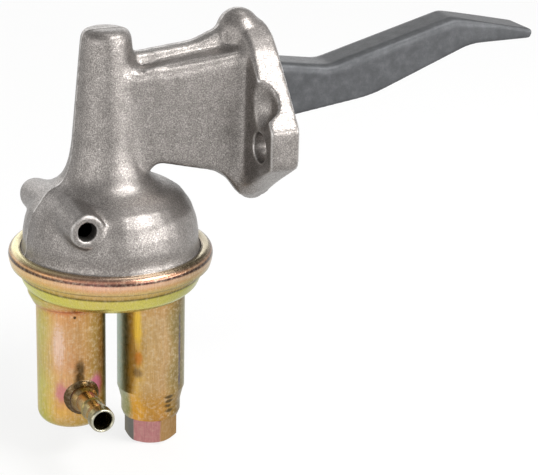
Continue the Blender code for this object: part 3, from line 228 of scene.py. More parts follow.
@dataclass(frozen=True)
class DieCastAluminium(Finish):
    """Die-cast aluminium, shot-blasted after casting.

    The blasting leaves a fine sparkling grain; raised edges are rubbed bright, and hollows and creases are
    darkened with painted shade.
    """

    name: str = "die-cast aluminium, shot-blasted"
    slot: Slot = Slot.CAST
    metallic: float = 0.85
    roughness: float = 0.38
    body: str = "#8f8c89"
    hollow: str = "#827f7c"
    rubbed: str = "#d0cdca"
    specks: tuple[str, str, str] = ("#6a6665", "#a8a4a2", "#eeebe9")
    milled: tuple[str, str] = ("#b4b2b0", "#cfcdca")
    grain_mm: float = 0.42      # blasting pits, drawn coarser than real so that they show
    mottle_mm: float = 4.0      # flow marks of the casting
    seam_mm: float = 0.45       # parting line
    # Draws the cutter's arcs 6.3 mm apart, much coarser than real, so that they show
    arc_scale_mm: float = 20.0
    milled_line: float = -0.25 * MM     # everything in front of this plane is the milled face

    def dress(self, tree: bpy.types.NodeTree, shader: bpy.types.Node) -> None:
        """Grain, mottling, rubbed edges, painted shade in the hollows and the milled mounting face.

        Args:
            tree: the material's node tree.
            shader: its principled shader.
        """
        place = add_node(tree, "ShaderNodeTexCoord").outputs["Object"]
        grain = add_node(tree, "ShaderNodeTexNoise", None, {
            "Vector": place, "Scale": per_metre(self.grain_mm), "Detail": 3.0, "Roughness": 0.7})
        mottle = add_node(tree, "ShaderNodeTexNoise", None, {
            "Vector": place, "Scale": per_metre(self.mottle_mm), "Detail": 4.0, "Roughness": 0.6})
        base = add_node(tree, "ShaderNodeValToRGB", {"stops": [(0.36, self.hollow), (0.62, self.body)]},
                        {"Fac": mottle.outputs["Fac"]})
        speck = add_node(tree, "ShaderNodeValToRGB", {"stops": [
            (0.32, self.specks[0]), (0.50, self.specks[1]), (0.68, self.specks[2])]},
                        {"Fac": grain.outputs["Fac"]})
        cast = add_node(tree, "ShaderNodeMix", {"data_type": "RGBA", "blend_type": "OVERLAY"}, {
            "Factor": 0.75, "A": base.outputs["Color"], "B": speck.outputs["Color"]})
        edges = add_node(tree, "ShaderNodeNewGeometry").outputs["Pointiness"]
        rubbing = add_node(tree, "ShaderNodeMapRange", {"interpolation_type": "SMOOTHSTEP"}, {
            "Value": edges, "From Min": 0.515, "From Max": 0.58})
        worn = add_node(tree, "ShaderNodeMix", {"data_type": "RGBA"}, {
            "Factor": rubbing.outputs["Result"], "A": cast.outputs["Result"], "B": linear(self.rubbed)})
        axes = add_node(tree, "ShaderNodeSeparateXYZ", None, {"Vector": place})
        # The die's parting line, filed and broken
        seam = add_node(tree, "ShaderNodeMath", {"operation": "COMPARE"}, {
            0: axes.outputs["Y"], 1: 0.0, 2: self.seam_mm * MM / 2})
        filed = add_node(tree, "ShaderNodeMapRange", None, {
            "Value": mottle.outputs["Fac"], "From Min": 0.42, "From Max": 0.55, "To Max": 0.8})
        line = add_node(tree, "ShaderNodeMath", {"operation": "MULTIPLY"}, {
            0: seam.outputs["Value"], 1: filed.outputs["Result"]})
        seamed = add_node(tree, "ShaderNodeMix", {"data_type": "RGBA"}, {
            "Factor": line.outputs["Value"], "A": worn.outputs["Result"], "B": linear(self.rubbed)})
        # Painted shade: hollows and creases, told by the mesh's pointiness, are multiplied down to 0.55 of
        # their colour
        painted_crevice_shade = add_node(tree, "ShaderNodeMapRange", {"interpolation_type": "SMOOTHSTEP"}, {
            "Value": edges, "From Min": 0.42, "From Max": 0.49, "To Min": 0.55, "To Max": 1.0})
        shaded = add_node(tree, "ShaderNodeMix", {"data_type": "RGBA", "blend_type": "MULTIPLY"}, {
            "Factor": 1.0, "A": seamed.outputs["Result"], "B": painted_crevice_shade.outputs["Result"]})
        milled = add_node(tree, "ShaderNodeMath", {"operation": "GREATER_THAN"}, {
            0: axes.outputs["X"], 1: self.milled_line})
        # The milling cutter's arcs
        arcs = add_node(tree, "ShaderNodeTexWave", {
            "wave_type": "RINGS", "rings_direction": "X", "wave_profile": "SAW"}, {
            "Vector": place, "Scale": per_metre(self.arc_scale_mm), "Distortion": 0.4, "Detail": 1.0})
        face = add_node(tree, "ShaderNodeValToRGB", {"stops": [(0.0, self.milled[0]), (1.0, self.milled[1])]},
                        {"Fac": arcs.outputs["Fac"]})
        colour = add_node(tree, "ShaderNodeMix", {"data_type": "RGBA"}, {
            "Factor": milled.outputs["Value"], "A": shaded.outputs["Result"], "B": face.outputs["Color"]})
        tree.links.new(colour.outputs["Result"], shader.inputs["Base Color"])
        gloss = add_node(tree, "ShaderNodeMapRange", None, {
            "Value": grain.outputs["Fac"], "From Min": 0.3, "From Max": 0.7,
            "To Min": self.roughness + 0.10, "To Max": self.roughness - 0.12})
        even = add_node(tree, "ShaderNodeMix", {"data_type": "FLOAT"}, {
            "Factor": milled.outputs["Value"], "A": gloss.outputs["Result"], "B": 0.3})
        tree.links.new(even.outputs["Result"], shader.inputs["Roughness"])
        relief = add_node(tree, "ShaderNodeMath", {"operation": "MULTIPLY_ADD"}, {
            0: mottle.outputs["Fac"], 1: 1.6, 2: grain.outputs["Fac"]})
        flat = add_node(tree, "ShaderNodeMix", {"data_type": "FLOAT"}, {
            "Factor": milled.outputs["Value"], "A": relief.outputs["Value"], "B": arcs.outputs["Fac"]})
        self.bump(tree, shader, flat.outputs["Result"], 0.10, 0.5)


@dataclass(frozen=True)
class Patch:
    """A stain or mark on a plated surface, or a painted highlight, reflection or shade on it, soft at its
    edge.

    Attributes:
        centre: its middle in millimetres.
        half: its half lengths in millimetres.
        colour: its colour.
        share: how much of the film it hides.
        broken_mm: size of the gaps in it.
    """

    centre: Triple
    half: Triple
    colour: str
    share: float
    broken_mm: float

    def over(self, tree: bpy.types.NodeTree, place: bpy.types.NodeSocket,
             film: bpy.types.NodeSocket) -> bpy.types.NodeSocket:
        """Lay the patch over a film.

        Args:
            tree: the material's node tree.
            place: object coordinates.
            film: the film's colour.

        Returns:
            The colour socket.
        """
        scale = tuple(1.0 / (half * MM) for half in self.half)
        moved = add_node(tree, "ShaderNodeMapping", None, {
            "Vector": place, "Scale": scale,
            "Location": tuple(-middle * MM * factor for middle, factor in zip(self.centre, scale))})
        ball = add_node(tree, "ShaderNodeTexGradient", {"gradient_type": "SPHERICAL"}, {
            "Vector": moved.outputs["Vector"]})
        gaps = add_node(tree, "ShaderNodeTexNoise", None, {
            "Vector": place, "Scale": per_metre(self.broken_mm), "Detail": 3.0})
        level = add_node(tree, "ShaderNodeMath", {"operation": "MULTIPLY"}, {
            0: ball.outputs["Fac"], 1: gaps.outputs["Fac"]})
        cover = add_node(tree, "ShaderNodeMapRange", {"interpolation_type": "SMOOTHSTEP"}, {
            "Value": level.outputs["Value"], "From Min": 0.08, "From Max": 0.38, "To Max": self.share})
        return add_node(tree, "ShaderNodeMix", {"data_type": "RGBA"}, {
            "Factor": cover.outputs["Result"], "A": film, "B": linear(self.colour)}).outputs["Result"]


@dataclass(frozen=True)
class YellowZincPlate(Finish):
    """Zinc plate passivated in yellow dichromate.

    The film is thin enough to show interference colours, which drift round a piece and down it with the
    film's thickness. The colours set round the axis and by height also hold painted light: sides darkened
    as painted shade, painted reflections and highlights, and painted shade in grooves. A pale powdery haze
    and fine draw marks of the sheet lie over them.

    Attributes:
        axis: where the piece's own axis stands (x, y).
        film_and_light_round: colours round the axis; 0 and 1 face -X, 0.25 faces -Y, 0.5 faces +X, 0.75 faces
            +Y.
        film_and_light_by_height: colours from the piece's low end to its high end, multiplied over the
            others.
        span: the low and high end.
        along: the axis that low and high are measured on.
        patches: stains and marks.
    """

    name: str = "zinc plate, yellow dichromate"
    slot: Slot = Slot.ZINC
    metallic: float = 1.0
    roughness: float = 0.30
    axis: tuple[float, float] = (PUMP_X, 0.0)
    film_and_light_round: tuple[tuple[float, str], ...] = (
        (0.0, "#c9b465"), (0.25, "#d2ab78"), (0.5, "#b89a62"), (1.0, "#c9b465"))
    film_and_light_by_height: tuple[tuple[float, str], ...] = ((0.0, "#ffffff"), (1.0, "#ffffff"))
    span: tuple[float, float] = (-100.0 * MM, -40.0 * MM)
    along: str = "Z"
    patches: tuple[Patch, ...] = ()
    drift_mm: float = 16.0      # the film's thickness drifts over half a chamber
    drift: float = 0.05
    haze_mm: float = 1.3        # powdery haze
    haze: float = 0.45
    scratch_mm: float = 0.35    # draw marks along the sheet, coarser than real so that they show
    haze_colour: str = "#ecdcc0"

    def film(self, tree: bpy.types.NodeTree, place: bpy.types.NodeSocket) -> bpy.types.NodeSocket:
        """Interference colours round the axis and by height, which also hold painted shade and painted
        reflections.

        Args:
            tree: the material's node tree.
            place: object coordinates.

        Returns:
            The colour socket.
        """
        thickness = add_node(tree, "ShaderNodeTexNoise", None, {
            "Vector": place, "Scale": per_metre(self.drift_mm), "Detail": 3.0, "Roughness": 0.6})
        shift = add_node(tree, "ShaderNodeMath", {"operation": "MULTIPLY_ADD"}, {
            0: thickness.outputs["Fac"], 1: 2 * self.drift, 2: -self.drift})
        centred = add_node(tree, "ShaderNodeMapping", None, {
            "Vector": place, "Location": (-self.axis[0], -self.axis[1], 0.0)})
        radial = add_node(tree, "ShaderNodeTexGradient", {"gradient_type": "RADIAL"}, {
            "Vector": centred.outputs["Vector"]})
        turn = add_node(tree, "ShaderNodeMath", {"operation": "ADD"}, {
            0: radial.outputs["Fac"], 1: shift.outputs["Value"]})
        wrapped = add_node(tree, "ShaderNodeMath", {"operation": "FRACT"}, {0: turn.outputs["Value"]})
        # Colours round the axis: film tints with painted shade and painted reflections on the sides
        round_film_and_light_colour = add_node(tree, "ShaderNodeValToRGB", {"stops": list(self.film_and_light_round)},
                                {"Fac": wrapped.outputs["Value"]})
        height = add_node(tree, "ShaderNodeSeparateXYZ", None, {"Vector": place})
        level = add_node(tree, "ShaderNodeMapRange", None, {
            "Value": height.outputs[self.along], "From Min": self.span[0], "From Max": self.span[1]})
        wavy = add_node(tree, "ShaderNodeMath", {"operation": "MULTIPLY_ADD"}, {
            0: shift.outputs["Value"], 1: 0.3, 2: level.outputs["Result"]})
        # Colours by height: film tints, and on the cup painted shade in the grooves and a painted reflection
        # band
        height_film_and_light_colour = add_node(tree, "ShaderNodeValToRGB", {"stops": list(self.film_and_light_by_height)},
                                {"Fac": wavy.outputs["Value"]})
        both = add_node(tree, "ShaderNodeMix", {"data_type": "RGBA", "blend_type": "MULTIPLY"}, {
            "Factor": 1.0, "A": round_film_and_light_colour.outputs["Color"], "B": height_film_and_light_colour.outputs["Color"]})
        return both.outputs["Result"]

    def dress(self, tree: bpy.types.NodeTree, shader: bpy.types.Node) -> None:
        """Film colours with their painted shade and reflections, pale haze and fine draw marks.

        Args:
            tree: the material's node tree.
            shader: its principled shader.
        """
        place = add_node(tree, "ShaderNodeTexCoord").outputs["Object"]
        haze = add_node(tree, "ShaderNodeTexNoise", None, {
            "Vector": place, "Scale": per_metre(self.haze_mm), "Detail": 5.0, "Roughness": 0.75})
        haze_share = add_node(tree, "ShaderNodeMapRange", {"interpolation_type": "SMOOTHSTEP"}, {
            "Value": haze.outputs["Fac"], "From Min": 0.45, "From Max": 0.72, "To Max": self.haze})
        hazed = add_node(tree, "ShaderNodeMix", {"data_type": "RGBA"}, {
            "Factor": haze_share.outputs["Result"], "A": self.film(tree, place),
            "B": linear(self.haze_colour)})
        film = hazed.outputs["Result"]
        for patch in self.patches:
            film = patch.over(tree, place, film)
        marks = add_node(tree, "ShaderNodeMapping", None, {"Vector": place, "Scale": (1.0, 1.0, 0.06)})
        draw = add_node(tree, "ShaderNodeTexNoise", None, {
            "Vector": marks.outputs["Vector"], "Scale": per_metre(self.scratch_mm), "Detail": 2.0})
        shade = add_node(tree, "ShaderNodeMapRange", None, {
            "Value": draw.outputs["Fac"], "From Min": 0.3, "From Max": 0.7, "To Min": 0.80, "To Max": 1.0})
        drawn = add_node(tree, "ShaderNodeMix", {"data_type": "RGBA", "blend_type": "MULTIPLY"}, {
            "Factor": 1.0, "A": film, "B": shade.outputs["Result"]})
        tree.links.new(drawn.outputs["Result"], shader.inputs["Base Color"])
        gloss = add_node(tree, "ShaderNodeMapRange", None, {
            "Value": haze.outputs["Fac"], "From Min": 0.3, "From Max": 0.75,
            "To Min": self.roughness - 0.06, "To Max": self.roughness + 0.16})
        tree.links.new(gloss.outputs["Result"], shader.inputs["Roughness"])
        self.bump(tree, shader, draw.outputs["Fac"], 0.02, 0.35)


@dataclass(frozen=True)
class PressedArmSteel(Finish):
    """Steel strip pressed and case-hardened in oil, which leaves it dark grey with a soft mottle."""

    name: str = "pressed steel, oil-blackened"
    slot: Slot = Slot.ARM
    metallic: float = 0.55
    roughness: float = 0.46
    body: str = "#464749"
    pale: str = "#515254"
    dark: str = "#3f4042"
    rubbed: str = "#97989b"
    mottle_mm: float = 3.0
    scale_mm: float = 0.5       # heat scale

    def dress(self, tree: bpy.types.NodeTree, shader: bpy.types.Node) -> None:
        """Mottle, fine scale and edges rubbed paler.

        Args:
            tree: the material's node tree.
            shader: its principled shader.
        """
        place = add_node(tree, "ShaderNodeTexCoord").outputs["Object"]
        mottle = add_node(tree, "ShaderNodeTexNoise", None, {
            "Vector": place, "Scale": per_metre(self.mottle_mm), "Detail": 5.0, "Roughness": 0.6})
        scale = add_node(tree, "ShaderNodeTexNoise", None, {
            "Vector": place, "Scale": per_metre(self.scale_mm), "Detail": 3.0, "Roughness": 0.6})
        mixed = add_node(tree, "ShaderNodeMath", {"operation": "MULTIPLY_ADD"}, {
            0: scale.outputs["Fac"], 1: 0.5, 2: mottle.outputs["Fac"]})
        tone = add_node(tree, "ShaderNodeValToRGB", {"stops": [
            (0.58, self.dark), (0.75, self.body), (0.95, self.pale)]}, {"Fac": mixed.outputs["Value"]})
        edges = add_node(tree, "ShaderNodeNewGeometry").outputs["Pointiness"]
        rubbing = add_node(tree, "ShaderNodeMapRange", {"interpolation_type": "SMOOTHSTEP"}, {
            "Value": edges, "From Min": 0.52, "From Max": 0.60, "To Max": 0.7})
        worn = add_node(tree, "ShaderNodeMix", {"data_type": "RGBA"}, {
            "Factor": rubbing.outputs["Result"], "A": tone.outputs["Color"], "B": linear(self.rubbed)})
        tree.links.new(worn.outputs["Result"], shader.inputs["Base Color"])
        gloss = add_node(tree, "ShaderNodeMapRange", None, {
            "Value": scale.outputs["Fac"], "From Min": 0.3, "From Max": 0.7,
            "To Min": self.roughness - 0.08, "To Max": self.roughness + 0.10})
        tree.links.new(gloss.outputs["Result"], shader.inputs["Roughness"])
        self.bump(tree, shader, scale.outputs["Fac"], 0.03, 0.4)


@dataclass(frozen=True)
class TurnedSteel(Finish):
    """Plain turned or ground steel: fine rings from the tool and a faint warm oil film."""

    name: str = "turned steel, bare"
    slot: Slot = Slot.STEEL
    metallic: float = 1.0
    roughness: float = 0.3
    body: str = "#a3a4a6"
    stain: str = "#86807a"
    ring_mm: float = 0.4        # the tool's feed, drawn coarse enough to show
    stain_mm: float = 5.0

    def dress(self, tree: bpy.types.NodeTree, shader: bpy.types.Node) -> None:
        """Oil stain and tool rings.

        Args:
            tree: the material's node tree.
            shader: its principled shader.
        """
        stain = self.cloud(tree, shader, self.stain_mm, ((0.4, self.stain), (0.6, self.body)))
        place = add_node(tree, "ShaderNodeTexCoord").outputs["Object"]
        marks = add_node(tree, "ShaderNodeMapping", None, {"Vector": place, "Scale": (0.15, 0.15, 1.0)})
        rings = add_node(tree, "ShaderNodeTexNoise", None, {
            "Vector": marks.outputs["Vector"], "Scale": per_metre(self.ring_mm), "Detail": 2.0})
        gloss = add_node(tree, "ShaderNodeMapRange", None, {
            "Value": stain, "From Min": 0.3, "From Max": 0.7,
            "To Min": self.roughness + 0.12, "To Max": self.roughness - 0.04})
        tree.links.new(gloss.outputs["Result"], shader.inputs["Roughness"])
        self.bump(tree, shader, rings.outputs["Fac"], 0.015, 0.4)


@dataclass(frozen=True)
class SpringWire(Finish):
    """Drawn and oil-tempered spring wire: dark, clouded by temper colours."""

    name: str = "spring wire, oil-tempered"
    slot: Slot = Slot.SPRING
    metallic: float = 1.0
    roughness: float = 0.33
    body: str = "#6d6c6c"
    blue: str = "#5b5e66"
    temper_mm: float = 0.6

    def dress(self, tree: bpy.types.NodeTree, shader: bpy.types.Node) -> None:
        """Temper colours and a fine roughness.

        Args:
            tree: the material's node tree.
            shader: its principled shader.
        """
        temper = self.cloud(tree, shader, self.temper_mm, ((0.4, self.blue), (0.62, self.body)))
        self.bump(tree, shader, temper, 0.02, 0.4)


@dataclass(frozen=True)
class MouldedRubber(Finish):
    """Moulded nitrile rubber: matt black with a faint grey bloom."""

    name: str = "nitrile rubber, moulded"
    slot: Slot = Slot.RUBBER
    metallic: float = 0.0
    roughness: float = 0.62
    body: str = "#232324"
    bloom: str = "#3a3a3b"
    bloom_mm: float = 1.5

    def dress(self, tree: bpy.types.NodeTree, shader: bpy.types.Node) -> None:
        """Bloom and a fine moulded texture.

        Args:
            tree: the material's node tree.
            shader: its principled shader.
        """
        bloom = self.cloud(tree, shader, self.bloom_mm, ((0.42, self.body), (0.68, self.bloom)))
        self.bump(tree, shader, bloom, 0.03, 0.5)


@dataclass(frozen=True)
class CoatedFabric(Finish):
    """Rubber-coated woven fabric of the diaphragm: the weave prints through the coating."""

    name: str = "coated diaphragm fabric"
    slot: Slot = Slot.FABRIC
    metallic: float = 0.0
    roughness: float = 0.66
    body: str = "#3a322b"
    raised: str = "#52483f"
    # Draws the threads 4.4 mm apart, much coarser than the real 0.4 mm
    weave_scale_mm: float = 14.0

    def dress(self, tree: bpy.types.NodeTree, shader: bpy.types.Node) -> None:
        """A plain weave from two crossed sets of threads.

        Args:
            tree: the material's node tree.
            shader: its principled shader.
        """
        place = add_node(tree, "ShaderNodeTexCoord").outputs["Object"]
        threads = [add_node(tree, "ShaderNodeTexWave", {"bands_direction": axis}, {
            "Vector": place, "Scale": per_metre(self.weave_scale_mm), "Distortion": 0.2})
            for axis in ("X", "Y")]
        weave = add_node(tree, "ShaderNodeMath", {"operation": "MULTIPLY"}, {
            0: threads[0].outputs["Fac"], 1: threads[1].outputs["Fac"]})
        tone = add_node(tree, "ShaderNodeValToRGB", {"stops": [(0.1, self.body), (0.8, self.raised)]},
                        {"Fac": weave.outputs["Value"]})
        tree.links.new(tone.outputs["Color"], shader.inputs["Base Color"])
        self.bump(tree, shader, weave.outputs["Value"], 0.05, 0.5)


def new_piece(name: str, mesh: bpy.types.Mesh) -> bpy.types.Object:
    """Put a mesh into the scene as an object of its own.

    Args:
        name: the piece's name.
        mesh: its mesh.

    Returns:
        The piece.
    """
    piece = bpy.data.objects.new(name, mesh)
    bpy.context.scene.collection.objects.link(piece)
    return piece


def bake_modifiers(piece: bpy.types.Object) -> bpy.types.Object:
    """Apply every modifier by taking the evaluated mesh.

    Args:
        piece: the piece with its modifiers.

    Returns:
        The same piece with its final mesh.
    """
    bpy.context.view_layer.update()
    seen = piece.evaluated_get(bpy.context.evaluated_depsgraph_get())
    mesh = bpy.data.meshes.new_from_object(seen)
    mesh.name = piece.name
    piece.modifiers.clear()
    piece.data = mesh
    return piece


def finish_piece(piece: bpy.types.Object, finish: Finish, body: Body, *nodes: str,
                 sharp_degrees: float = 40.0) -> bpy.types.Object:
    """Dress a piece, put it on its body and let it stand for CAD nodes.

    Args:
        piece: the piece in place.
        finish: its finish.
        body: the body that it rides on.
        nodes: the CAD nodes that it replaces.
        sharp_degrees: edges sharper than this keep a crease.

    Returns:
        The piece.
    """
    piece.data.materials.clear()
    piece.data.materials.append(finish.material())
    piece.data.shade_smooth()
    piece.data.set_sharp_from_angle(angle=math.radians(sharp_degrees))
    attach(piece, body.value)
    if nodes:
        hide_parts(*nodes)
    LOG.info("%s: %d triangles", piece.name, sum(len(face.vertices) - 2 for face in piece.data.polygons))
    return piece


def filleted(corners: Sequence[Triple], steps: int = 6, closed: bool = False) -> Profile:
    """Round the corners of a profile.

    Args:
        corners: (radius, height, fillet) for each corner.
        steps: facets in each fillet.
        closed: whether the last corner joins the first.

    Returns:
        The rounded profile's points.
    """
    points: Profile = []
    count = len(corners)
    for index, (across, height, fillet) in enumerate(corners):
        at_end = not closed and index in (0, count - 1)
        if fillet <= 0 or at_end:
            points.append((across, height))
            continue
        corner = Vector((across, height))
        before = Vector(corners[index - 1][:2]) - corner
        after = Vector(corners[(index + 1) % count][:2]) - corner
        half = before.angle(after) / 2
        if half > STRAIGHT:
            points.append((across, height))
            continue
        reach = min(fillet / math.tan(half), before.length * FILLET_REACH, after.length * FILLET_REACH)
        radius = reach * math.tan(half)
        start = corner + before.normalized() * reach
        end = corner + after.normalized() * reach
        centre = corner + (before.normalized() + after.normalized()).normalized() * radius / math.sin(half)
        sweep = (start - centre).angle_signed(end - centre)
        for step in range(steps + 1):
            turn = -sweep * step / steps
            arm = start - centre
            points.append((centre.x + arm.x * math.cos(turn) - arm.y * math.sin(turn),
                           centre.y + arm.x * math.sin(turn) + arm.y * math.cos(turn)))
    return points


def section_profile(section: Sequence[Triple], steps: int = 7, closed: bool = False) -> Profile:
    """Round the corners of a section given in millimetres.

    Args:
        section: (radius, height, fillet) for each corner.
        steps: facets in each fillet.
        closed: whether the last corner joins the first.

    Returns:
        The rounded profile's points in metres.
    """
    corners = [(across * MM, height * MM, fillet * MM) for across, height, fillet in section]
    return filleted(corners, steps, closed)


def lathe(name: str, profile: Profile, centre: Triple, steps: int = 144, closed: bool = False,
          tilt: float = 0.0) -> bpy.types.Object:
    """Turn a profile round a vertical axis.

    Args:
        name: the piece's name.
        profile: (radius, height) points, from the top down on the outer side.
        centre: where the axis crosses height zero.
        steps: facets round the axis.
        closed: whether the profile is a closed section.
        tilt: rotation of the axis about X in radians.

    Returns:
        The turned piece, with its mesh in the frame.
    """
    mesh = bpy.data.meshes.new(name)
    edges = [(index, index + 1) for index in range(len(profile) - 1)]
    if closed:
        edges.append((len(profile) - 1, 0))
    mesh.from_pydata([(across, 0.0, height) for across, height in profile], edges, [])
    piece = new_piece(name, mesh)
    screw = piece.modifiers.new("Turn", "SCREW")
    screw.steps = steps
    screw.render_steps = steps
    screw.use_merge_vertices = True
    screw.merge_threshold = MERGE_DISTANCE
    bake_modifiers(piece)
    piece.data.transform(Matrix.Translation(centre) @ Matrix.Rotation(tilt, 4, "X"))
    return piece


def thicken(piece: bpy.types.Object, sheet: float) -> bpy.types.Object:
    """Give a turned skin its sheet thickness, inward.

    Args:
        piece: the skin.
        sheet: the thickness.

    Returns:
        The piece with its final mesh.
    """
    wall = piece.modifiers.new("Sheet", "SOLIDIFY")
    wall.thickness = sheet
    wall.offset = -1
    wall.use_even_offset = True
    return bake_modifiers(piece)


def cut_away(piece: bpy.types.Object, *tools: bpy.types.Object) -> bpy.types.Object:
    """Cut bodies out of a piece and remove them.

    Args:
        piece: the piece to cut.
        tools: closed bodies.

    Returns:
        The piece with its final mesh.
    """
    for tool in tools:
        change = piece.modifiers.new(tool.name, "BOOLEAN")
        change.operation = "DIFFERENCE"
        change.object = tool
        change.solver = "EXACT"
    bake_modifiers(piece)
    for tool in tools:
        bpy.data.objects.remove(tool, do_unlink=True)
    return piece


def wrap_rings(name: str, vertices: list[Triple], steps: int, turned: bool = False) -> bpy.types.Object:
    """Join closed rings of points into one closed body.

    Args:
        name: the piece's name.
        vertices: the points, ring after ring.
        steps: points in each ring.
        turned: whether the faces run the other way round.

    Returns:
        The new piece.
    """
    rings = len(vertices) // steps
    faces = []
    for ring in range(rings):
        following = (ring + 1) % rings
        for step in range(steps):
            after = (step + 1) % steps
            first, *rest = (ring * steps + step, ring * steps + after,
                            following * steps + after, following * steps + step)
            faces.append((first, *reversed(rest)) if turned else (first, *rest))
    mesh = bpy.data.meshes.new(name)
    mesh.from_pydata(vertices, [], faces)
    return new_piece(name, mesh)


def remeshed_copy(name: str, node: str, voxel: float) -> bpy.types.Object:
    """Copy a CAD node's mesh and give it even, dense faces.

    Args:
        name: the new piece's name.
        node: the CAD node.
        voxel: the size of the new faces.

    Returns:
        The new piece.
    """
    piece = new_piece(name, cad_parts[node].data.copy())
    remesh = piece.modifiers.new("Even faces", "REMESH")
    remesh.mode = "VOXEL"
    remesh.voxel_size = voxel
    remesh.adaptivity = 0.0
    return bake_modifiers(piece)


class SurfaceSmoother:
    """Moves the vertices of a dense mesh toward their neighbours' mean.

    Attributes:
        STEP: share of the way that a point moves in one pass.
        RENEW: passes before the normals are worked out anew.
    """

    STEP = 0.5
    RENEW = 6

    def __init__(self, mesh: bpy.types.Mesh) -> None:
        """Read the mesh's points and edges.

        Args:
            mesh: the dense mesh.
        """
        self.mesh = mesh
        self.points = np.empty(len(mesh.vertices) * 3)
        mesh.vertices.foreach_get("co", self.points)
        self.points = self.points.reshape(-1, 3)
        self.edges = np.empty(len(mesh.edges) * 2, dtype=np.int64)
        mesh.edges.foreach_get("vertices", self.edges)
        self.edges = self.edges.reshape(-1, 2)
        self.count = len(self.points)
        self.valence = np.bincount(self.edges.ravel(), minlength=self.count)[:, None]

    def offsets(self) -> np.ndarray:
        """Measure how far each point is from its neighbours' mean.

        Returns:
            A vector for each point.
        """
        total = np.empty_like(self.points)
        for axis in range(3):
            value = self.points[:, axis]
            total[:, axis] = (
                np.bincount(self.edges[:, 0], value[self.edges[:, 1]], self.count)
                + np.bincount(self.edges[:, 1], value[self.edges[:, 0]], self.count))
        return total / self.valence - self.points

    def normals(self) -> np.ndarray:
        """Work out the outward normals of the current points.

        Returns:
            A unit vector for each point.
        """
        self.write()
        values = np.empty(self.count * 3, dtype=np.float32)
        self.mesh.vertices.foreach_get("normal", values)
        return values.reshape(-1, 3).astype(float)

    def write(self) -> None:
        """Write the points back to the mesh."""
        self.mesh.vertices.foreach_set("co", self.points.ravel())
        self.mesh.update()

    def fill_corners(self, passes: int, weight: np.ndarray) -> None:
        """Fill inside corners only, as a die's rounded edges do.

        Args:
            passes: how many times; more give a larger fillet.
            weight: 0 to 1 for each point.
        """
        normals = self.normals()
        for turn in range(passes):
            if turn % self.RENEW == self.RENEW - 1:
                normals = self.normals()
            outward = np.einsum("ij,ij->i", self.offsets(), normals)
            self.points += normals * (np.clip(outward, 0.0, None) * weight * self.STEP)[:, None]
        self.write()

    def soften(self, passes: int, weight: np.ndarray) -> None:
        """Round every edge a little.

        Args:
            passes: how many times.
            weight: 0 to 1 for each point.
        """
        for _ in range(passes):
            self.points += self.offsets() * (weight * self.STEP)[:, None]
        self.write()


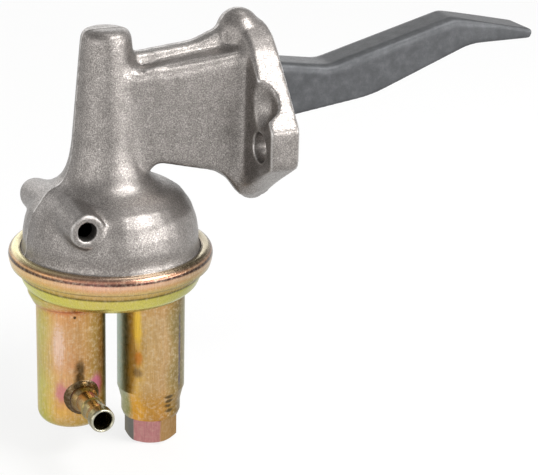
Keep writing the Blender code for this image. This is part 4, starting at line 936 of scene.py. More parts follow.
@dataclass
class CastHousing:
    """The die-cast body: fillets, a milled mounting face and the die's parting line."""

    voxel: float = 0.66 * MM
    fillet_passes: int = 42
    edge_passes: int = 5
    # Centre and half lengths of the cross boss, whose fillets are small
    boss: Triple = (-70.0, 0.0, -20.0)
    boss_reach: Triple = (10.0, 27.0, 9.0)
    boss_crispness: float = 0.8
    hollow_softening: float = 0.4       # against 1 on the skin
    flash_height: float = 0.20 * MM
    flash_width: float = 0.40 * MM
    flash_start: float = -11.0 * MM     # the flash fades out toward the flange
    flash_fade: float = 2.0 * MM
    flash_tilt: float = 0.5             # no flash where the skin faces Y more than this
    face_depth: float = 0.7 * MM        # faces this near the mounting plane are milled
    face_tilt: float = 0.8              # if they face +X more than this
    fillet_start: float = -1.5 * MM     # no fillet grows in front of this plane
    # Planes (outward normal, offset) at the far gusset's and the toe's lower edge
    trim: tuple[tuple[Triple, float], ...] = (
        ((-0.8115, 0.1495, -0.5650), 19.1 * MM), ((-0.2528, -0.2303, -0.9397), 17.9 * MM))
    trim_low: Triple = (-23.5 * MM, -11.5 * MM, -26.0 * MM)
    trim_high: Triple = (-2.0 * MM, math.inf, -9.0 * MM)
    # Centre, half lengths and passes where it is rounder: below the bolt hole, tower's top, neck's ridge
    round_zones: tuple[tuple[Triple, Triple, int], ...] = (
        ((-10.0, -18.0, -15.0), (9.0, 9.0, 9.0), 90), ((-54.4, 0.0, 38.5), (12.0, 12.0, 4.0), 17),
        ((-30.0, -10.5, 26.0), (17.0, 4.5, 4.5), 49))
    # (height, radius) of the dome's skin in millimetres, and the wall that is left outside the hollow
    dome: tuple[tuple[float, float], ...] = (
        (-39.6, 29.5), (-31.0, 29.5), (-26.5, 28.7), (-22.3, 27.2), (-18.6, 24.6), (-16.4, 21.5),
        (-15.0, 18.5))
    dome_top: float = -15.0 * MM
    dome_wall: float = 1.4 * MM
    # Limits just outside the hollows and holes, as (radius or half width, low, high)
    recess: Triple = (10.0 * MM, -19.0 * MM, -3.9 * MM)
    neck: Triple = (8.95 * MM, -4.5 * MM, 26.2 * MM)
    neck_end: float = -58.5 * MM
    link_way: tuple[float, float] = (-44.5 * MM, 11.6 * MM)   # behind this x it is open below this z only
    spring_bore: Triple = (6.7 * MM, 4.0 * MM, 29.4 * MM)
    slot: Triple = (11.3 * MM, -23.0 * MM, 29.7 * MM)
    slot_depth: float = 6.4 * MM
    # Round holes as (x, z, radius), the last as (y, depth, radius)
    pin_hole: Triple = (-22.0 * MM, 5.0 * MM, 4.4 * MM)
    vent_hole: Triple = (-70.0 * MM, -21.6 * MM, 3.5 * MM)
    vent_floor: float = -12.0 * MM
    bolt_hole: Triple = (24.3 * MM, -12.0 * MM, 5.5 * MM)

    def build(self) -> bpy.types.Object:
        """Make the piece and dress it.

        Returns:
            The piece.
        """
        piece = remeshed_copy("cast_housing", "housing", self.voxel)
        smoother = SurfaceSmoother(piece.data)
        outside = self.outside(smoother.points)
        milled = (smoother.normals()[:, 0] > self.face_tilt) & (smoother.points[:, 0] > -self.face_depth)
        self.trim_gusset(smoother)
        apart = (smoother.points / MM - self.boss) / self.boss_reach
        crisp = 1.0 - self.boss_crispness * np.exp(-(apart ** 4).sum(axis=1))
        behind = smoother.points[:, 0] < self.fillet_start
        smoother.fill_corners(self.fillet_passes, outside * crisp * behind)
        inner = self.hollow_softening
        smoother.soften(self.edge_passes, inner + (1 - inner) * outside)
        for centre, half, passes in self.round_zones:
            apart = (smoother.points / MM - centre) / half
            smoother.soften(passes, outside * np.exp(-(apart ** 2).sum(axis=1)))
        smoother.points[milled, 0] = 0.0
        smoother.points[:, 0] = np.minimum(smoother.points[:, 0], 0.0)
        self.parting_line(smoother, outside)
        return finish_piece(piece, CAST, Body.PUMP, "housing", sharp_degrees=60.0)

    def outside(self, points: np.ndarray) -> np.ndarray:
        """Tell the cast skin from the hollows and the drilled holes.

        Args:
            points: the vertices.

        Returns:
            1 on the skin, 0 in a hollow or hole.
        """
        x, y, z = points.T
        radius = np.hypot(x - PUMP_X, y)
        heights, radii = (np.array(values) * MM for values in zip(*self.dome))
        hollow = (z < self.dome_top) & (radius < np.interp(z, heights, radii) - self.dome_wall)
        open_way = (x > self.link_way[0]) | (z < self.link_way[1])
        for limits, apart, where in (
                (self.recess, radius, True), (self.spring_bore, radius, True),
                (self.neck, np.abs(y), (x > self.neck_end) & open_way),
                (self.slot, np.abs(y), x > -self.slot_depth)):
            hollow |= (apart < limits[0]) & (z > limits[1]) & (z < limits[2]) & where
        for hole, where in ((self.pin_hole, True), (self.vent_hole, y < self.vent_floor)):
            hollow |= (np.hypot(x - hole[0], z - hole[1]) < hole[2]) & where
        bolt_y, bolt_depth, bolt_radius = self.bolt_hole
        hollow |= (np.hypot(np.abs(y) - bolt_y, z) < bolt_radius) & (x > bolt_depth)
        return 1.0 - hollow.astype(float)

    def trim_gusset(self, smoother: SurfaceSmoother) -> None:
        """Draw the far gusset and the flange's toe in to the planes of their lower edges.

        Args:
            smoother: the housing's mesh.
        """
        points = smoother.points
        inside = ((points > self.trim_low) & (points < self.trim_high)).all(axis=1)
        normals = np.array([normal for normal, _ in self.trim])
        excess = points @ normals.T - np.array([offset for _, offset in self.trim])
        nearest = excess.argmin(axis=1)
        depth = np.clip(excess.min(axis=1), 0.0, None) * inside
        smoother.points -= normals[nearest] * depth[:, None]

    def parting_line(self, smoother: SurfaceSmoother, outside: np.ndarray) -> None:
        """Raise the fine flash where the two halves of the die met, in the plane y = 0.

        Args:
            smoother: the housing's mesh.
            outside: 1 on the skin, 0 in a hollow or hole.
        """
        normals = smoother.normals()
        x, y, _ = smoother.points.T
        level = np.exp(-(y / self.flash_width) ** 2) * (np.abs(normals[:, 1]) < self.flash_tilt)
        clear = np.clip((self.flash_start - x) / self.flash_fade, 0.0, 1.0)
        smoother.points += normals * (level * clear * outside * self.flash_height)[:, None]
        smoother.write()


@dataclass
class PlatedCup:
    """The pressed cup rolled over the housing's rim."""

    centre: Triple = (PUMP_X, 0.0, 0.0)
    sheet: float = 1.1 * MM
    valve_hole: float = 8.9 * MM
    hole_reach: float = 3 * MM     # of the cut above and below the floor
    hole_steps: int = 64
    spacing: float = 29.0 * MM
    gap: float = 0.06 * MM
    seat_top: float = -39.5 * MM   # top of the body that trims the chambers
    steps: int = 192
    section: Section = (
        (30.4, -36.5, 0.0), (31.2, -36.1, 1.0), (32.7, -36.0, 3.0), (34.1, -37.1, 3.0), (34.42, -38.8, 3.0),
        (34.2, -40.4, 3.0), (33.65, -42.3, 0.5), (32.6, -42.5, 0.4), (31.45, -42.6, 0.7), (31.05, -44.0, 2.0),
        (30.7, -45.8, 3.0), (29.5, -48.7, 4.0), (27.0, -50.9, 4.0), (23.4, -51.3, 3.0), (0.0, -51.3, 0.0))

    def outline(self, grow: float = 0.0, start: int = 0) -> Profile:
        """The outer section, grown by a clearance.

        Args:
            grow: how far outward and downward it is moved.
            start: the first corner used.

        Returns:
            Profile points.
        """
        corners = [(across * MM + (grow if across else 0.0), height * MM - grow, fillet * MM)
                   for across, height, fillet in self.section[start:]]
        return filleted(corners, 7)

    def build(self) -> bpy.types.Object:
        """Make the piece and dress it.

        Returns:
            The piece.
        """
        piece = thicken(lathe("plated_cup", self.outline(), self.centre, self.steps), self.sheet)
        floor = self.section[-1][1] * MM
        above = floor + self.hole_reach
        below = floor - self.hole_reach
        hole = [(0.0, above), (self.valve_hole, above), (self.valve_hole, below), (0.0, below)]
        holes = [lathe(f"valve_hole_{side}", hole, (self.centre[0] + side * self.spacing / 2, 0.0, 0.0),
                       self.hole_steps) for side in (-1, 1)]
        cut_away(piece, *holes)
        return finish_piece(piece, CUP_ZINC, Body.PUMP, "lower_cup", sharp_degrees=50.0)

    def clearance(self, name: str) -> bpy.types.Object:
        """Make a body of the cup's outer form and a seating gap, to trim what is brazed to it.

        Args:
            name: the body's name.

        Returns:
            The body, which the cut uses up.
        """
        skin = self.outline(self.gap, 8)
        edge = [(0.0, self.seat_top), (skin[0][0], self.seat_top)]
        return lathe(name, edge + skin, self.centre, self.steps)


@dataclass
class FuelChamber:
    """A drawn steel chamber under the cup."""

    name: str
    node: str
    centre_x: float
    section: Section
    finish: Finish
    cup: PlatedCup
    nipple_z: Optional[float] = None
    nipple_hole: float = 4.0 * MM
    sheet: float = 0.9 * MM
    hole_steps: int = 48

    def build(self) -> bpy.types.Object:
        """Make the piece and dress it.

        Returns:
            The piece.
        """
        skin = lathe(self.name, section_profile(self.section), (self.centre_x, 0.0, 0.0))
        piece = thicken(skin, self.sheet)
        tools = [self.cup.clearance(f"{self.name}_seat")]
        if self.nipple_z is not None:
            far, near = 2 * CHAMBER_RADIUS, CHAMBER_RADIUS / 2
            hole = [(0.0, far), (self.nipple_hole, far), (self.nipple_hole, near), (0.0, near)]
            tools.append(lathe(f"{self.name}_hole", hole, (self.centre_x, 0.0, self.nipple_z),
                               self.hole_steps, tilt=SIDEWAYS))
        cut_away(piece, *tools)
        return finish_piece(piece, self.finish, Body.PUMP, self.node, sharp_degrees=50.0)


@dataclass
class HoseNipple:
    """The barbed nipple and the fillet of braze round its foot."""

    centre_x: float = INLET_X
    height: float = NIPPLE_Z
    # Bore radius and tip's place on the nipple's axis, in millimetres like its section
    bore: float = 3.1
    tip: float = 31.7
    # The braze: its radius on the chamber and on the collar, its rise and its depth in the wall
    braze_radius: float = 6.6 * MM
    collar: float = 4.3 * MM
    braze_rise: float = 1.9 * MM
    braze_edge: float = -0.05 * MM
    braze_root: float = -0.6 * MM
    steps: int = 72

    def build(self) -> list[bpy.types.Object]:
        """Make the nipple and its braze.

        Returns:
            Both pieces.
        """
        tip = self.tip
        section = [
            (self.bore, tip - 0.5, 0.4), (self.bore + 0.35, tip, 0.25), (3.95, tip, 0.35),
            (4.25, tip - 0.7, 0.6), (4.25, tip - 3.4, 1.2), (3.72, tip - 6.2, 1.2), (3.7, tip - 9.6, 0.3),
            (4.1, tip - 10.2, 0.3), (4.1, tip - 10.8, 0.3), (3.7, tip - 11.4, 0.3), (3.7, 15.2, 0.8),
            (4.5, 14.1, 0.5), (4.8, 13.4, 0.4), (4.8, 12.0, 0.2), (3.7, 12.0, 0.2), (3.7, 9.6, 0.2),
            (self.bore, 9.6, 0.2)]
        nipple = lathe("hose_nipple", section_profile(section, 5, True), (self.centre_x, 0.0, self.height),
                       self.steps, True, SIDEWAYS)
        finish_piece(nipple, NIPPLE_ZINC, Body.PUMP, "inlet_nipple", sharp_degrees=50.0)
        return [nipple, self.braze()]

    def braze(self) -> bpy.types.Object:
        """Make a saddle of braze between the chamber's round wall and the nipple's collar.

        Returns:
            The braze.
        """
        shares = [index / 8 for index in range(9)]
        outer = [(self.braze_radius + (self.collar - self.braze_radius) * share,
                  self.braze_rise * (1 - math.cos(math.pi / 2 * share)) + self.braze_edge)
                 for share in shares]
        inner = [(self.collar, self.braze_root), (self.braze_radius, self.braze_root)]
        vertices = []
        for radius, rise in outer + inner:
            for step in range(self.steps):
                angle = math.tau * step / self.steps
                side = radius * math.cos(angle)
                depth = math.sqrt(CHAMBER_RADIUS ** 2 - side ** 2)
                vertices.append((self.centre_x + side, -depth - rise,
                                 self.height + radius * math.sin(angle)))
        piece = wrap_rings("nipple_braze", vertices, self.steps)
        return finish_piece(piece, NIPPLE_ZINC, Body.PUMP, sharp_degrees=60.0)


@dataclass
class OutletFitting:
    """The hexagonal fitting that closes the outlet chamber."""

    centre_x: float = OUTLET_X
    across_flats: float = 15.9 * MM
    top: float = -101.0 * MM
    height: float = 8.9 * MM
    port: float = 5.2 * MM
    barrel: float = 8.9 * MM
    barrel_length: float = 10.0 * MM
    chamfer_angle: float = math.radians(28)
    edge: float = 0.25 * MM
    port_edge: float = 0.6 * MM
    barrel_edge: float = 0.5 * MM
    rim_inset: float = 0.3 * MM   # how far inside the flats the chamfer starts
    steps: int = 144

    def corner(self, angle: float) -> float:
        """Measure from the axis to the hexagon's side at an angle.

        Args:
            angle: the direction round the axis.

        Returns:
            The distance.
        """
        return self.across_flats / 2 / math.cos(angle % (math.pi / 3) - math.pi / 6)

    def build(self) -> bpy.types.Object:
        """Make the piece and dress it.

        Returns:
            The piece.
        """
        bottom = self.top - self.height
        end = self.top + self.barrel_length
        rim = self.across_flats / 2 - self.rim_inset
        slope = math.tan(self.chamfer_angle)
        rings: list[Callable[[float], tuple[float, float]]] = [
            lambda angle: (self.port, bottom + self.port_edge),
            lambda angle: (self.port + self.port_edge, bottom),
            lambda angle: (rim, bottom),
            lambda angle: (self.corner(angle), bottom + (self.corner(angle) - rim) * slope),
            lambda angle: (self.corner(angle), self.top - self.edge),
            lambda angle: (self.corner(angle) - self.edge, self.top),
            lambda angle: (self.barrel, self.top),
            lambda angle: (self.barrel, end - self.barrel_edge),
            lambda angle: (self.barrel - self.barrel_edge, end),
            lambda angle: (self.port, end)]
        vertices = []
        for ring in rings:
            for step in range(self.steps):
                angle = math.tau * step / self.steps
                across, height = ring(angle)
                vertices.append((self.centre_x + across * math.sin(angle), across * math.cos(angle), height))
        piece = wrap_rings("outlet_hexagon", vertices, self.steps, True)
        return finish_piece(piece, HEX_ZINC, Body.PUMP, "outlet_fitting", sharp_degrees=25.0)


@dataclass
class PressedArm:
    """The rocker arm with the soft edges of a pressing."""

    voxel: float = 0.42 * MM
    fillet_passes: int = 18
    edge_passes: int = 8

    def build(self) -> bpy.types.Object:
        """Make the piece and dress it.

        Returns:
            The piece.
        """
        piece = remeshed_copy("pressed_arm", "rocker_arm", self.voxel)
        smoother = SurfaceSmoother(piece.data)
        everywhere = np.ones(smoother.count)
        smoother.fill_corners(self.fillet_passes, everywhere)
        smoother.soften(self.edge_passes, everywhere)
        return finish_piece(piece, ARM, Body.ROCKER, "rocker_arm", sharp_degrees=60.0)


@dataclass
class CoilSpring:
    """A compression spring with closed ends."""

    name: str
    node: str
    radius: float
    wire: float
    turns: float
    joint: str
    travel: float
    fixed_at_top: bool = False
    per_turn: int = 40
    closed_pitch: float = 1.02   # of the closed end turns, in wire thicknesses

    def build(self) -> bpy.types.Object:
        """Make the coil between the CAD node's ends.

        Returns:
            The coil.
        """
        low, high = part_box(self.node)
        centre = ((low.x + high.x) / 2, (low.y + high.y) / 2)
        data = bpy.data.curves.new(self.name, "CURVE")
        data.dimensions = "3D"
        data.bevel_depth = self.wire / 2
        data.bevel_resolution = 5
        data.use_fill_caps = True
        spline = data.splines.new("POLY")
        count = round(self.turns * self.per_turn)
        spline.points.add(count)
        bottom = low.z + self.wire / 2
        top = high.z - self.wire / 2
        closed = self.wire * self.closed_pitch
        rise = (top - bottom - 2 * closed) / (self.turns - 2)
        for index in range(count + 1):
            turn = index / self.per_turn
            height = bottom + min(turn, 1.0) * closed + min(max(turn - 1, 0.0), self.turns - 2) * rise
            height += max(turn - self.turns + 1, 0.0) * closed
            angle = math.tau * turn
            spline.points[index].co = (centre[0] + self.radius * math.cos(angle),
                                       centre[1] + self.radius * math.sin(angle), height, 1.0)
        guide = bpy.data.objects.new(f"{self.name}_guide", data)
        bpy.context.scene.collection.objects.link(guide)
        bpy.context.view_layer.update()
        seen = guide.evaluated_get(bpy.context.evaluated_depsgraph_get())
        piece = new_piece(self.name, bpy.data.meshes.new_from_object(seen))
        bpy.data.objects.remove(guide, do_unlink=True)
        finish_piece(piece, WIRE, Body.PUMP, self.node)
        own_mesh(piece)
        return piece


@dataclass
class Diaphragm:
    """The coated fabric disc, dished from its clamped rim down to the plate."""

    centre: Triple = (PUMP_X, 0.0, 0.0)
    rim: float = 31.9
    clamp: float = 28.5
    plate: float = 19.1
    hole: float = 1.9
    top: float = -39.9
    dish: float = 4.2
    thickness: float = 1.2
    travel: float = 3.25

    def build(self) -> bpy.types.Object:
        """Make the disc with its rolled convolution.

        Returns:
            The disc.
        """
        shares = [index / 24 for index in range(25)]
        slope = [(self.clamp + (self.plate - self.clamp) * share,
                  self.top - self.dish * (1 - math.cos(math.pi * share)) / 2) for share in shares]
        upper = [(self.rim, self.top)] + slope + [(self.hole, self.top - self.dish)]
        lower = [(across, height - self.thickness) for across, height in upper]
        profile = [(across * MM, height * MM) for across, height in [upper[0]] + lower + upper[:0:-1]]
        piece = lathe("fabric_diaphragm", profile, self.centre, 144, True)
        finish_piece(piece, FABRIC, Body.PUMP, "diaphragm", sharp_degrees=50.0)
        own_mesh(piece)
        return piece


@dataclass
class TurnedParts:
    """The small turned, ground and moulded pieces, which keep their CAD form under a real finish."""

    finishes: dict[str, Finish] = field(default_factory=lambda: {
        "pull_link": STEEL, "rocker_pin": STEEL, "pin_plug": PLUG_STEEL, "pull_rod": STEEL,
        "spring_seat": STEEL, "upper_diaphragm_plate": STEEL, "lower_diaphragm_plate": STEEL,
        "seal_retainer": STEEL, "rod_seal": RUBBER, "inlet_valve_body": STEEL, "inlet_valve_bridge": STEEL,
        "inlet_valve_disc": RUBBER, "outlet_valve_body": STEEL, "outlet_valve_bridge": STEEL,
        "outlet_valve_disc": RUBBER})

    def build(self) -> None:
        """Dress each node in place."""
        for name, finish in self.finishes.items():
            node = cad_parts[name]
            node.data.materials.clear()
            node.data.materials.append(finish.material())
            LOG.info("%s: CAD form, %s", name, finish.name)


@dataclass
class Studio:
    """A pale floor, a soft sky and six soft lamps, seen from the photograph's place."""

    floor_z: float = -110.1 * MM
    floor_half: float = 6.0
    floor_colour: str = "#f4f4f3"
    floor_roughness: float = 0.9
    glow: float = 0.97              # how bright the floor is where it is seen
    glow_share: float = 0.8
    sky_colour: str = "#ffffff"
    sky_strength: float = 0.50
    horizon: tuple[float, float] = (0.25, 0.65)   # the sky is white below the first height
    camera_at: Triple = (-0.2575, -0.5609, 0.1877)
    right: Triple = (0.9088, -0.4164, 0.0248)
    up: Triple = (0.1237, 0.3258, 0.9373)
    lens: float = 126.2
    aim: Triple = (-0.02, 0.0, -0.03)
    # Name, direction from the pump, distance, size and power of each lamp
    lamps: tuple[tuple[str, Triple, float, tuple[float, float], float], ...] = (
        ("low lamp", (0.577, -0.794, 0.191), 1.0, (0.95, 0.20), 6.4),
        ("high lamp", (0.413, -0.492, 0.766), 1.0, (0.50, 0.40), 8.5),
        ("front lamp", (-0.717, -0.692, 0.087), 1.1, (0.9, 0.7), 2.8),
        ("left lamp", (-0.980, -0.100, 0.100), 1.1, (0.9, 0.8), 2.5),
        ("top lamp", (0.30, 0.25, 0.92), 1.1, (0.5, 0.5), 1.6),
        ("back lamp", (0.0, 0.95, 0.28), 1.1, (1.5, 0.35), 2.4))

    def floor(self) -> None:
        """A wide pale floor just under the outlet fitting."""
        half = self.floor_half
        square = ((-half, -half), (half, -half), (half, half), (-half, half))
        corners = [(x, y, self.floor_z) for x, y in square]
        mesh = bpy.data.meshes.new("floor")
        mesh.from_pydata(corners, [], [(0, 1, 2, 3)])
        piece = new_piece("floor", mesh)
        made = bpy.data.materials.new("pale floor")
        made.use_nodes = True
        tree = made.node_tree
        shader = tree.nodes["Principled BSDF"]
        shader.inputs["Base Color"].default_value = linear(self.floor_colour)
        shader.inputs["Roughness"].default_value = self.floor_roughness
        shader.inputs["Specular IOR Level"].default_value = 0.0
        glow = add_node(tree, "ShaderNodeEmission", None,
                        {"Color": linear(self.sky_colour), "Strength": self.glow})
        share = add_node(tree, "ShaderNodeMath", {"operation": "MULTIPLY"},
                         {0: self.seen(tree), 1: self.glow_share})
        mixed = add_node(tree, "ShaderNodeMixShader", None, {
            0: share.outputs["Value"], 1: shader.outputs["BSDF"], 2: glow.outputs["Emission"]})
        tree.links.new(mixed.outputs["Shader"], tree.nodes["Material Output"].inputs["Surface"])
        piece.data.materials.append(made)

    def sky(self) -> None:
        """An even grey-white sky, which is white near the horizon where it is seen or mirrored."""
        world = bpy.data.worlds.new("studio sky")
        world.use_nodes = True
        tree = world.node_tree
        ground = tree.nodes["Background"]
        ground.inputs["Color"].default_value = linear(self.sky_colour)
        toward = add_node(tree, "ShaderNodeTexCoord").outputs["Generated"]
        height = add_node(tree, "ShaderNodeSeparateXYZ", None, {"Vector": toward})
        backdrop = add_node(tree, "ShaderNodeMapRange", {"interpolation_type": "SMOOTHSTEP"}, {
            "Value": height.outputs["Z"], "From Min": self.horizon[0], "From Max": self.horizon[1],
            "To Min": 1.0, "To Max": self.sky_strength})
        seen = self.seen(tree)
        strength = add_node(tree, "ShaderNodeMix", {"data_type": "FLOAT"}, {
            "Factor": seen, "A": self.sky_strength, "B": backdrop.outputs["Result"]})
        tree.links.new(strength.outputs["Result"], ground.inputs["Strength"])
        bpy.context.scene.world = world

    def seen(self, tree: bpy.types.NodeTree) -> bpy.types.NodeSocket:
        """Tell what the camera, a mirror or clear glass sees from what only lights others.

        Args:
            tree: the node tree that gets the nodes.

        Returns:
            A socket that is 1 where a surface is seen and 0 elsewhere.
        """
        path = add_node(tree, "ShaderNodeLightPath")
        either = add_node(tree, "ShaderNodeMath", {"operation": "MAXIMUM"}, {
            0: path.outputs["Is Camera Ray"], 1: path.outputs["Is Glossy Ray"]})
        through = add_node(tree, "ShaderNodeMath", {"operation": "MAXIMUM"}, {
            0: either.outputs["Value"], 1: path.outputs["Is Transmission Ray"]})
        return through.outputs["Value"]

    def lamp(self, name: str, direction: Triple, distance: float,
             size: tuple[float, float], power: float) -> None:
        """A soft box aimed at the pump.

        Args:
            name: the lamp's name.
            direction: from the pump toward the lamp.
            distance: how far away it stands.
            size: its width and height.
            power: its power in watts.
        """
        data = bpy.data.lights.new(name, "AREA")
        data.shape = "RECTANGLE"
        data.size, data.size_y = size
        data.energy = power
        lamp = bpy.data.objects.new(name, data)
        bpy.context.scene.collection.objects.link(lamp)
        toward = Vector(direction).normalized()
        lamp.location = Vector(self.aim) + toward * distance
        lamp.rotation_euler = toward.to_track_quat("Z", "Y").to_euler()

    def camera(self) -> None:
        """The camera at the place solved from the photograph."""
        data = bpy.data.cameras.new("camera")
        data.sensor_width = 36.0
        data.lens = self.lens
        data.clip_end = 50.0
        camera = bpy.data.objects.new("camera", data)
        bpy.context.scene.collection.objects.link(camera)
        right = Vector(self.right).normalized()
        up = (Vector(self.up) - right * right.dot(Vector(self.up))).normalized()
        back = right.cross(up)
        turn = Matrix((right, up, back)).transposed().to_4x4()
        camera.matrix_world = Matrix.Translation(self.camera_at) @ turn
        bpy.context.scene.camera = camera

    def build(self) -> None:
        """Set up floor, sky, lamps and camera."""
        self.floor()
        self.sky()
        for lamp in self.lamps:
            self.lamp(*lamp)
        self.camera()
        bpy.context.scene.view_settings.view_transform = "Standard"


CAST = DieCastAluminium()
INLET_ZINC = YellowZincPlate(
    name="zinc plate, yellow dichromate, inlet chamber", axis=(INLET_X, 0.0),
    span=(-98.0 * MM, -46.0 * MM),
    # Round the axis: a bright yellow-green painted reflection facing -X, and darker olive painted shade on
    # the side toward the outlet chamber
    film_and_light_round=((0.0, "#bcc26c"), (0.06, "#ccc67a"), (0.13, "#dcb888"), (0.19, "#d2ac7c"), (0.25, "#c4a26c"),
            (0.31, "#a8904e"), (0.42, "#7f7844"), (0.60, "#a08a58"), (0.80, "#b9a366"), (1.0, "#c8c070")),
    film_and_light_by_height=((0.0, "#d8e0a8"), (0.12, "#fff0c0"), (0.30, "#fff4d8"), (0.45, "#ffe8e4"), (0.70, "#fff0e8"),
            (0.80, "#ffe4d0"), (0.84, "#f4b8a8"), (0.87, "#f4ecc0"), (1.0, "#e0dcb0")),
    patches=(Patch((-70.0, -11.7, -56.5), (0.8, 1.5, 0.8), "#32281e", 0.9, 3.0),
             Patch((-74.0, -10.0, -84.5), (6.0, 4.5, 9.0), "#c4688a", 0.62, 4.0),
             Patch((-62.0, -10.6, -82.5), (5.6, 4.5, 7.0), "#c4688a", 0.80, 5.0),
             # Painted reflection: the dark streak above the nipple is the nipple's reflection painted onto
             # the chamber
             Patch((-68.6, -11.6, -77.5), (3.2, 4.0, 8.5), "#463a28", 0.85, 3.0),
             # Painted highlight: a pale pinkish streak up the chamber's left side
             Patch((-75.0, -9.0, -67.0), (3.2, 4.5, 13.0), "#f4dcd2", 0.45, 0.7),
             Patch((-74.0, -9.8, -90.0), (5.5, 4.5, 6.0), "#e0b050", 0.50, 5.0)))
# Middles of the stamped mark's four rows, in millimetres
STAMPED_ROWS = ((-35.9, -11.0, -91.4), (-35.5, -10.8, -93.3), (-35.9, -10.5, -95.2), (-35.5, -10.3, -97.1))
OUTLET_ZINC = YellowZincPlate(
    name="zinc plate, yellow dichromate, outlet chamber", axis=(OUTLET_X, 0.0),
    span=(-101.0 * MM, -46.0 * MM), haze=0.42,
    # Round the axis: a teal-grey painted reflection of the inlet chamber facing -X, a bright yellow painted
    # highlight at the left front and painted shade toward +X
    film_and_light_round=((0.0, "#98ac9c"), (0.05, "#9aa894"), (0.085, "#dcb466"), (0.12, "#deb662"), (0.16, "#c4a26c"),
            (0.25, "#c09e70"), (0.30, "#a08a58"), (0.36, "#7c7048"), (0.42, "#7a7848"), (0.75, "#8a8260"),
            (1.0, "#98ac9c")),
    film_and_light_by_height=((0.0, "#f4d8a0"), (0.14, "#fce4a4"), (0.24, "#fffaf4"), (0.70, "#ffffff"), (0.92, "#fcdca8"),
            (1.0, "#fcdca8")),
    # Painted highlight: the bright yellow strip up the chamber's left front
    patches=(Patch((-46.8, -8.4, -65.0), (2.4, 4.0, 11.0), "#f2c84a", 0.80, 6.0),
             Patch((-46.3, -8.6, -76.5), (2.0, 4.0, 4.0), "#dc8e40", 0.75, 6.0),
             Patch((-46.6, -8.5, -81.5), (2.4, 4.0, 3.5), "#63524c", 0.60, 5.0),
             *(Patch(row, (2.8, 3.0, 1.2), "#4a3c24", 0.85, 2.0) for row in STAMPED_ROWS),
             # Painted shade: a dark line down the chamber's right edge
             Patch((-31.6, -9.4, -75.0), (0.9, 2.0, 26.0), "#5a5468", 0.75, 3.0)))
CUP_ZINC = YellowZincPlate(
    name="zinc plate, yellow dichromate, rolled", span=(-51.3 * MM, -36.0 * MM), drift=0.03, haze=0.25,
    roughness=0.22,
    # Round the axis the +X end is darkened to olive grey as painted shade
    film_and_light_round=((0.0, "#e2e0b0"), (0.08, "#ecdfae"), (0.16, "#f4dccc"), (0.25, "#eedcc4"), (0.34, "#bdb69a"),
            (0.5, "#9a9682"), (0.8, "#c4bfa0"), (1.0, "#e2e0b0")),
    # By height: painted shade in the two grooves (0.42, 0.58), and across the bead's top a dark painted
    # reflection (0.85 to 0.95) between paler painted highlights
    film_and_light_by_height=((0.0, "#dce880"), (0.38, "#e0e484"), (0.42, "#6f6c40"), (0.46, "#ccb878"), (0.54, "#dccb90"),
            (0.58, "#6d6748"), (0.63, "#dcce98"), (0.72, "#ecc8a0"), (0.78, "#f8dccc"), (0.82, "#f6d4c6"),
            (0.85, "#4e3c40"), (0.89, "#6a5252"), (0.92, "#e4b8a8"), (0.95, "#9c8480"), (1.0, "#f4ece4")))
NIPPLE_ZINC = YellowZincPlate(
    name="zinc plate, yellow dichromate, turned", axis=(INLET_X, 0.0), haze=0.2, roughness=0.24,
    span=(-31.8 * MM, -12.0 * MM), along="Y", film_and_light_round=((0.0, "#ecece4"), (1.0, "#e2e2d8")),
    film_and_light_by_height=((0.0, "#cfccc0"), (0.015, "#bcb8a8"), (0.035, "#8e8668"), (0.15, "#8c8158"), (0.24, "#b8a872"),
            (0.45, "#8f8056"), (0.62, "#bca872"), (0.80, "#a88a5c"), (0.88, "#8a7048"), (1.0, "#5e4a32")))
HEX_ZINC = YellowZincPlate(
    name="zinc plate, yellow dichromate, hexagon", axis=(OUTLET_X, 0.0), drift=0.01, haze=0.15,
    # Coloured facet by facet as lit and shaded copies of the film: the -X facets dark as painted shade, the
    # front facets pink and the +X facets gold
    film_and_light_round=((0.0, "#454132"), (0.07, "#454132"), (0.085, "#b87f7e"), (0.245, "#b87f7e"), (0.26, "#ae8652"),
            (0.42, "#a07c4a"), (0.6, "#877852"), (1.0, "#4c4838")))
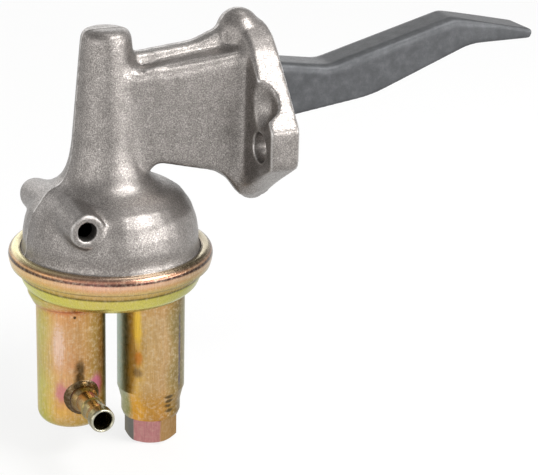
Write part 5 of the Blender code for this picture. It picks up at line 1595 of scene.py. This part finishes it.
ARM = PressedArmSteel()
STEEL = TurnedSteel()
PLUG_STEEL = TurnedSteel(name="steel plug, pressed")
WIRE = SpringWire()
RUBBER = MouldedRubber()
FABRIC = CoatedFabric()

INLET_SECTION: Section = (
    (14.6, -46.2, 0.0), (14.35, -50.8, 2.0), (13.35, -52.8, 1.0), (12.6, -54.2, 0.5), (11.95, -54.7, 0.4),
    (11.7, -55.7, 1.5), (11.7, -98.1, 4.1), (0.0, -98.1, 0.0))
OUTLET_SECTION: Section = (
    (13.7, -46.2, 0.0), (13.6, -50.4, 2.0), (12.6, -51.8, 1.0), (11.9, -52.8, 0.6), (11.7, -54.0, 1.5),
    (11.7, -90.2, 1.0), (11.3, -91.4, 0.8), (10.7, -93.8, 1.2), (10.3, -95.6, 1.2), (10.3, -99.3, 0.8),
    (9.9, -100.4, 0.3), (9.8, -100.7, 0.0))

SPRINGS = (
    CoilSpring("return_coil", "arm_return_spring", 3.6 * MM, 1.3 * MM, 7.5, "arm_pivot", 1.74 * MM),
    CoilSpring("diaphragm_coil", "diaphragm_spring", 5.1 * MM, 1.4 * MM, 5.5, "rod_slide", 3.25 * MM, True),
    CoilSpring("inlet_valve_coil", "inlet_valve_spring", 2.6 * MM, 0.6 * MM, 3.5, "inlet_valve_lift",
               1.5 * MM, True),
    CoilSpring("outlet_valve_coil", "outlet_valve_spring", 2.6 * MM, 0.6 * MM, 3.5, "outlet_valve_lift",
               1.5 * MM))


def main() -> None:
    """Build the pump's pieces in order, then the studio."""
    CastHousing().build()
    cup = PlatedCup()
    cup.build()
    FuelChamber("inlet_chamber", "inlet_can", INLET_X, INLET_SECTION, INLET_ZINC, cup, NIPPLE_Z).build()
    FuelChamber("outlet_chamber", "outlet_can", OUTLET_X, OUTLET_SECTION, OUTLET_ZINC, cup).build()
    HoseNipple().build()
    OutletFitting().build()
    PressedArm().build()
    for spring in SPRINGS:
        spring.build()
    Diaphragm().build()
    TurnedParts().build()
    Studio().build()


if __name__ == "__main__":
    main()
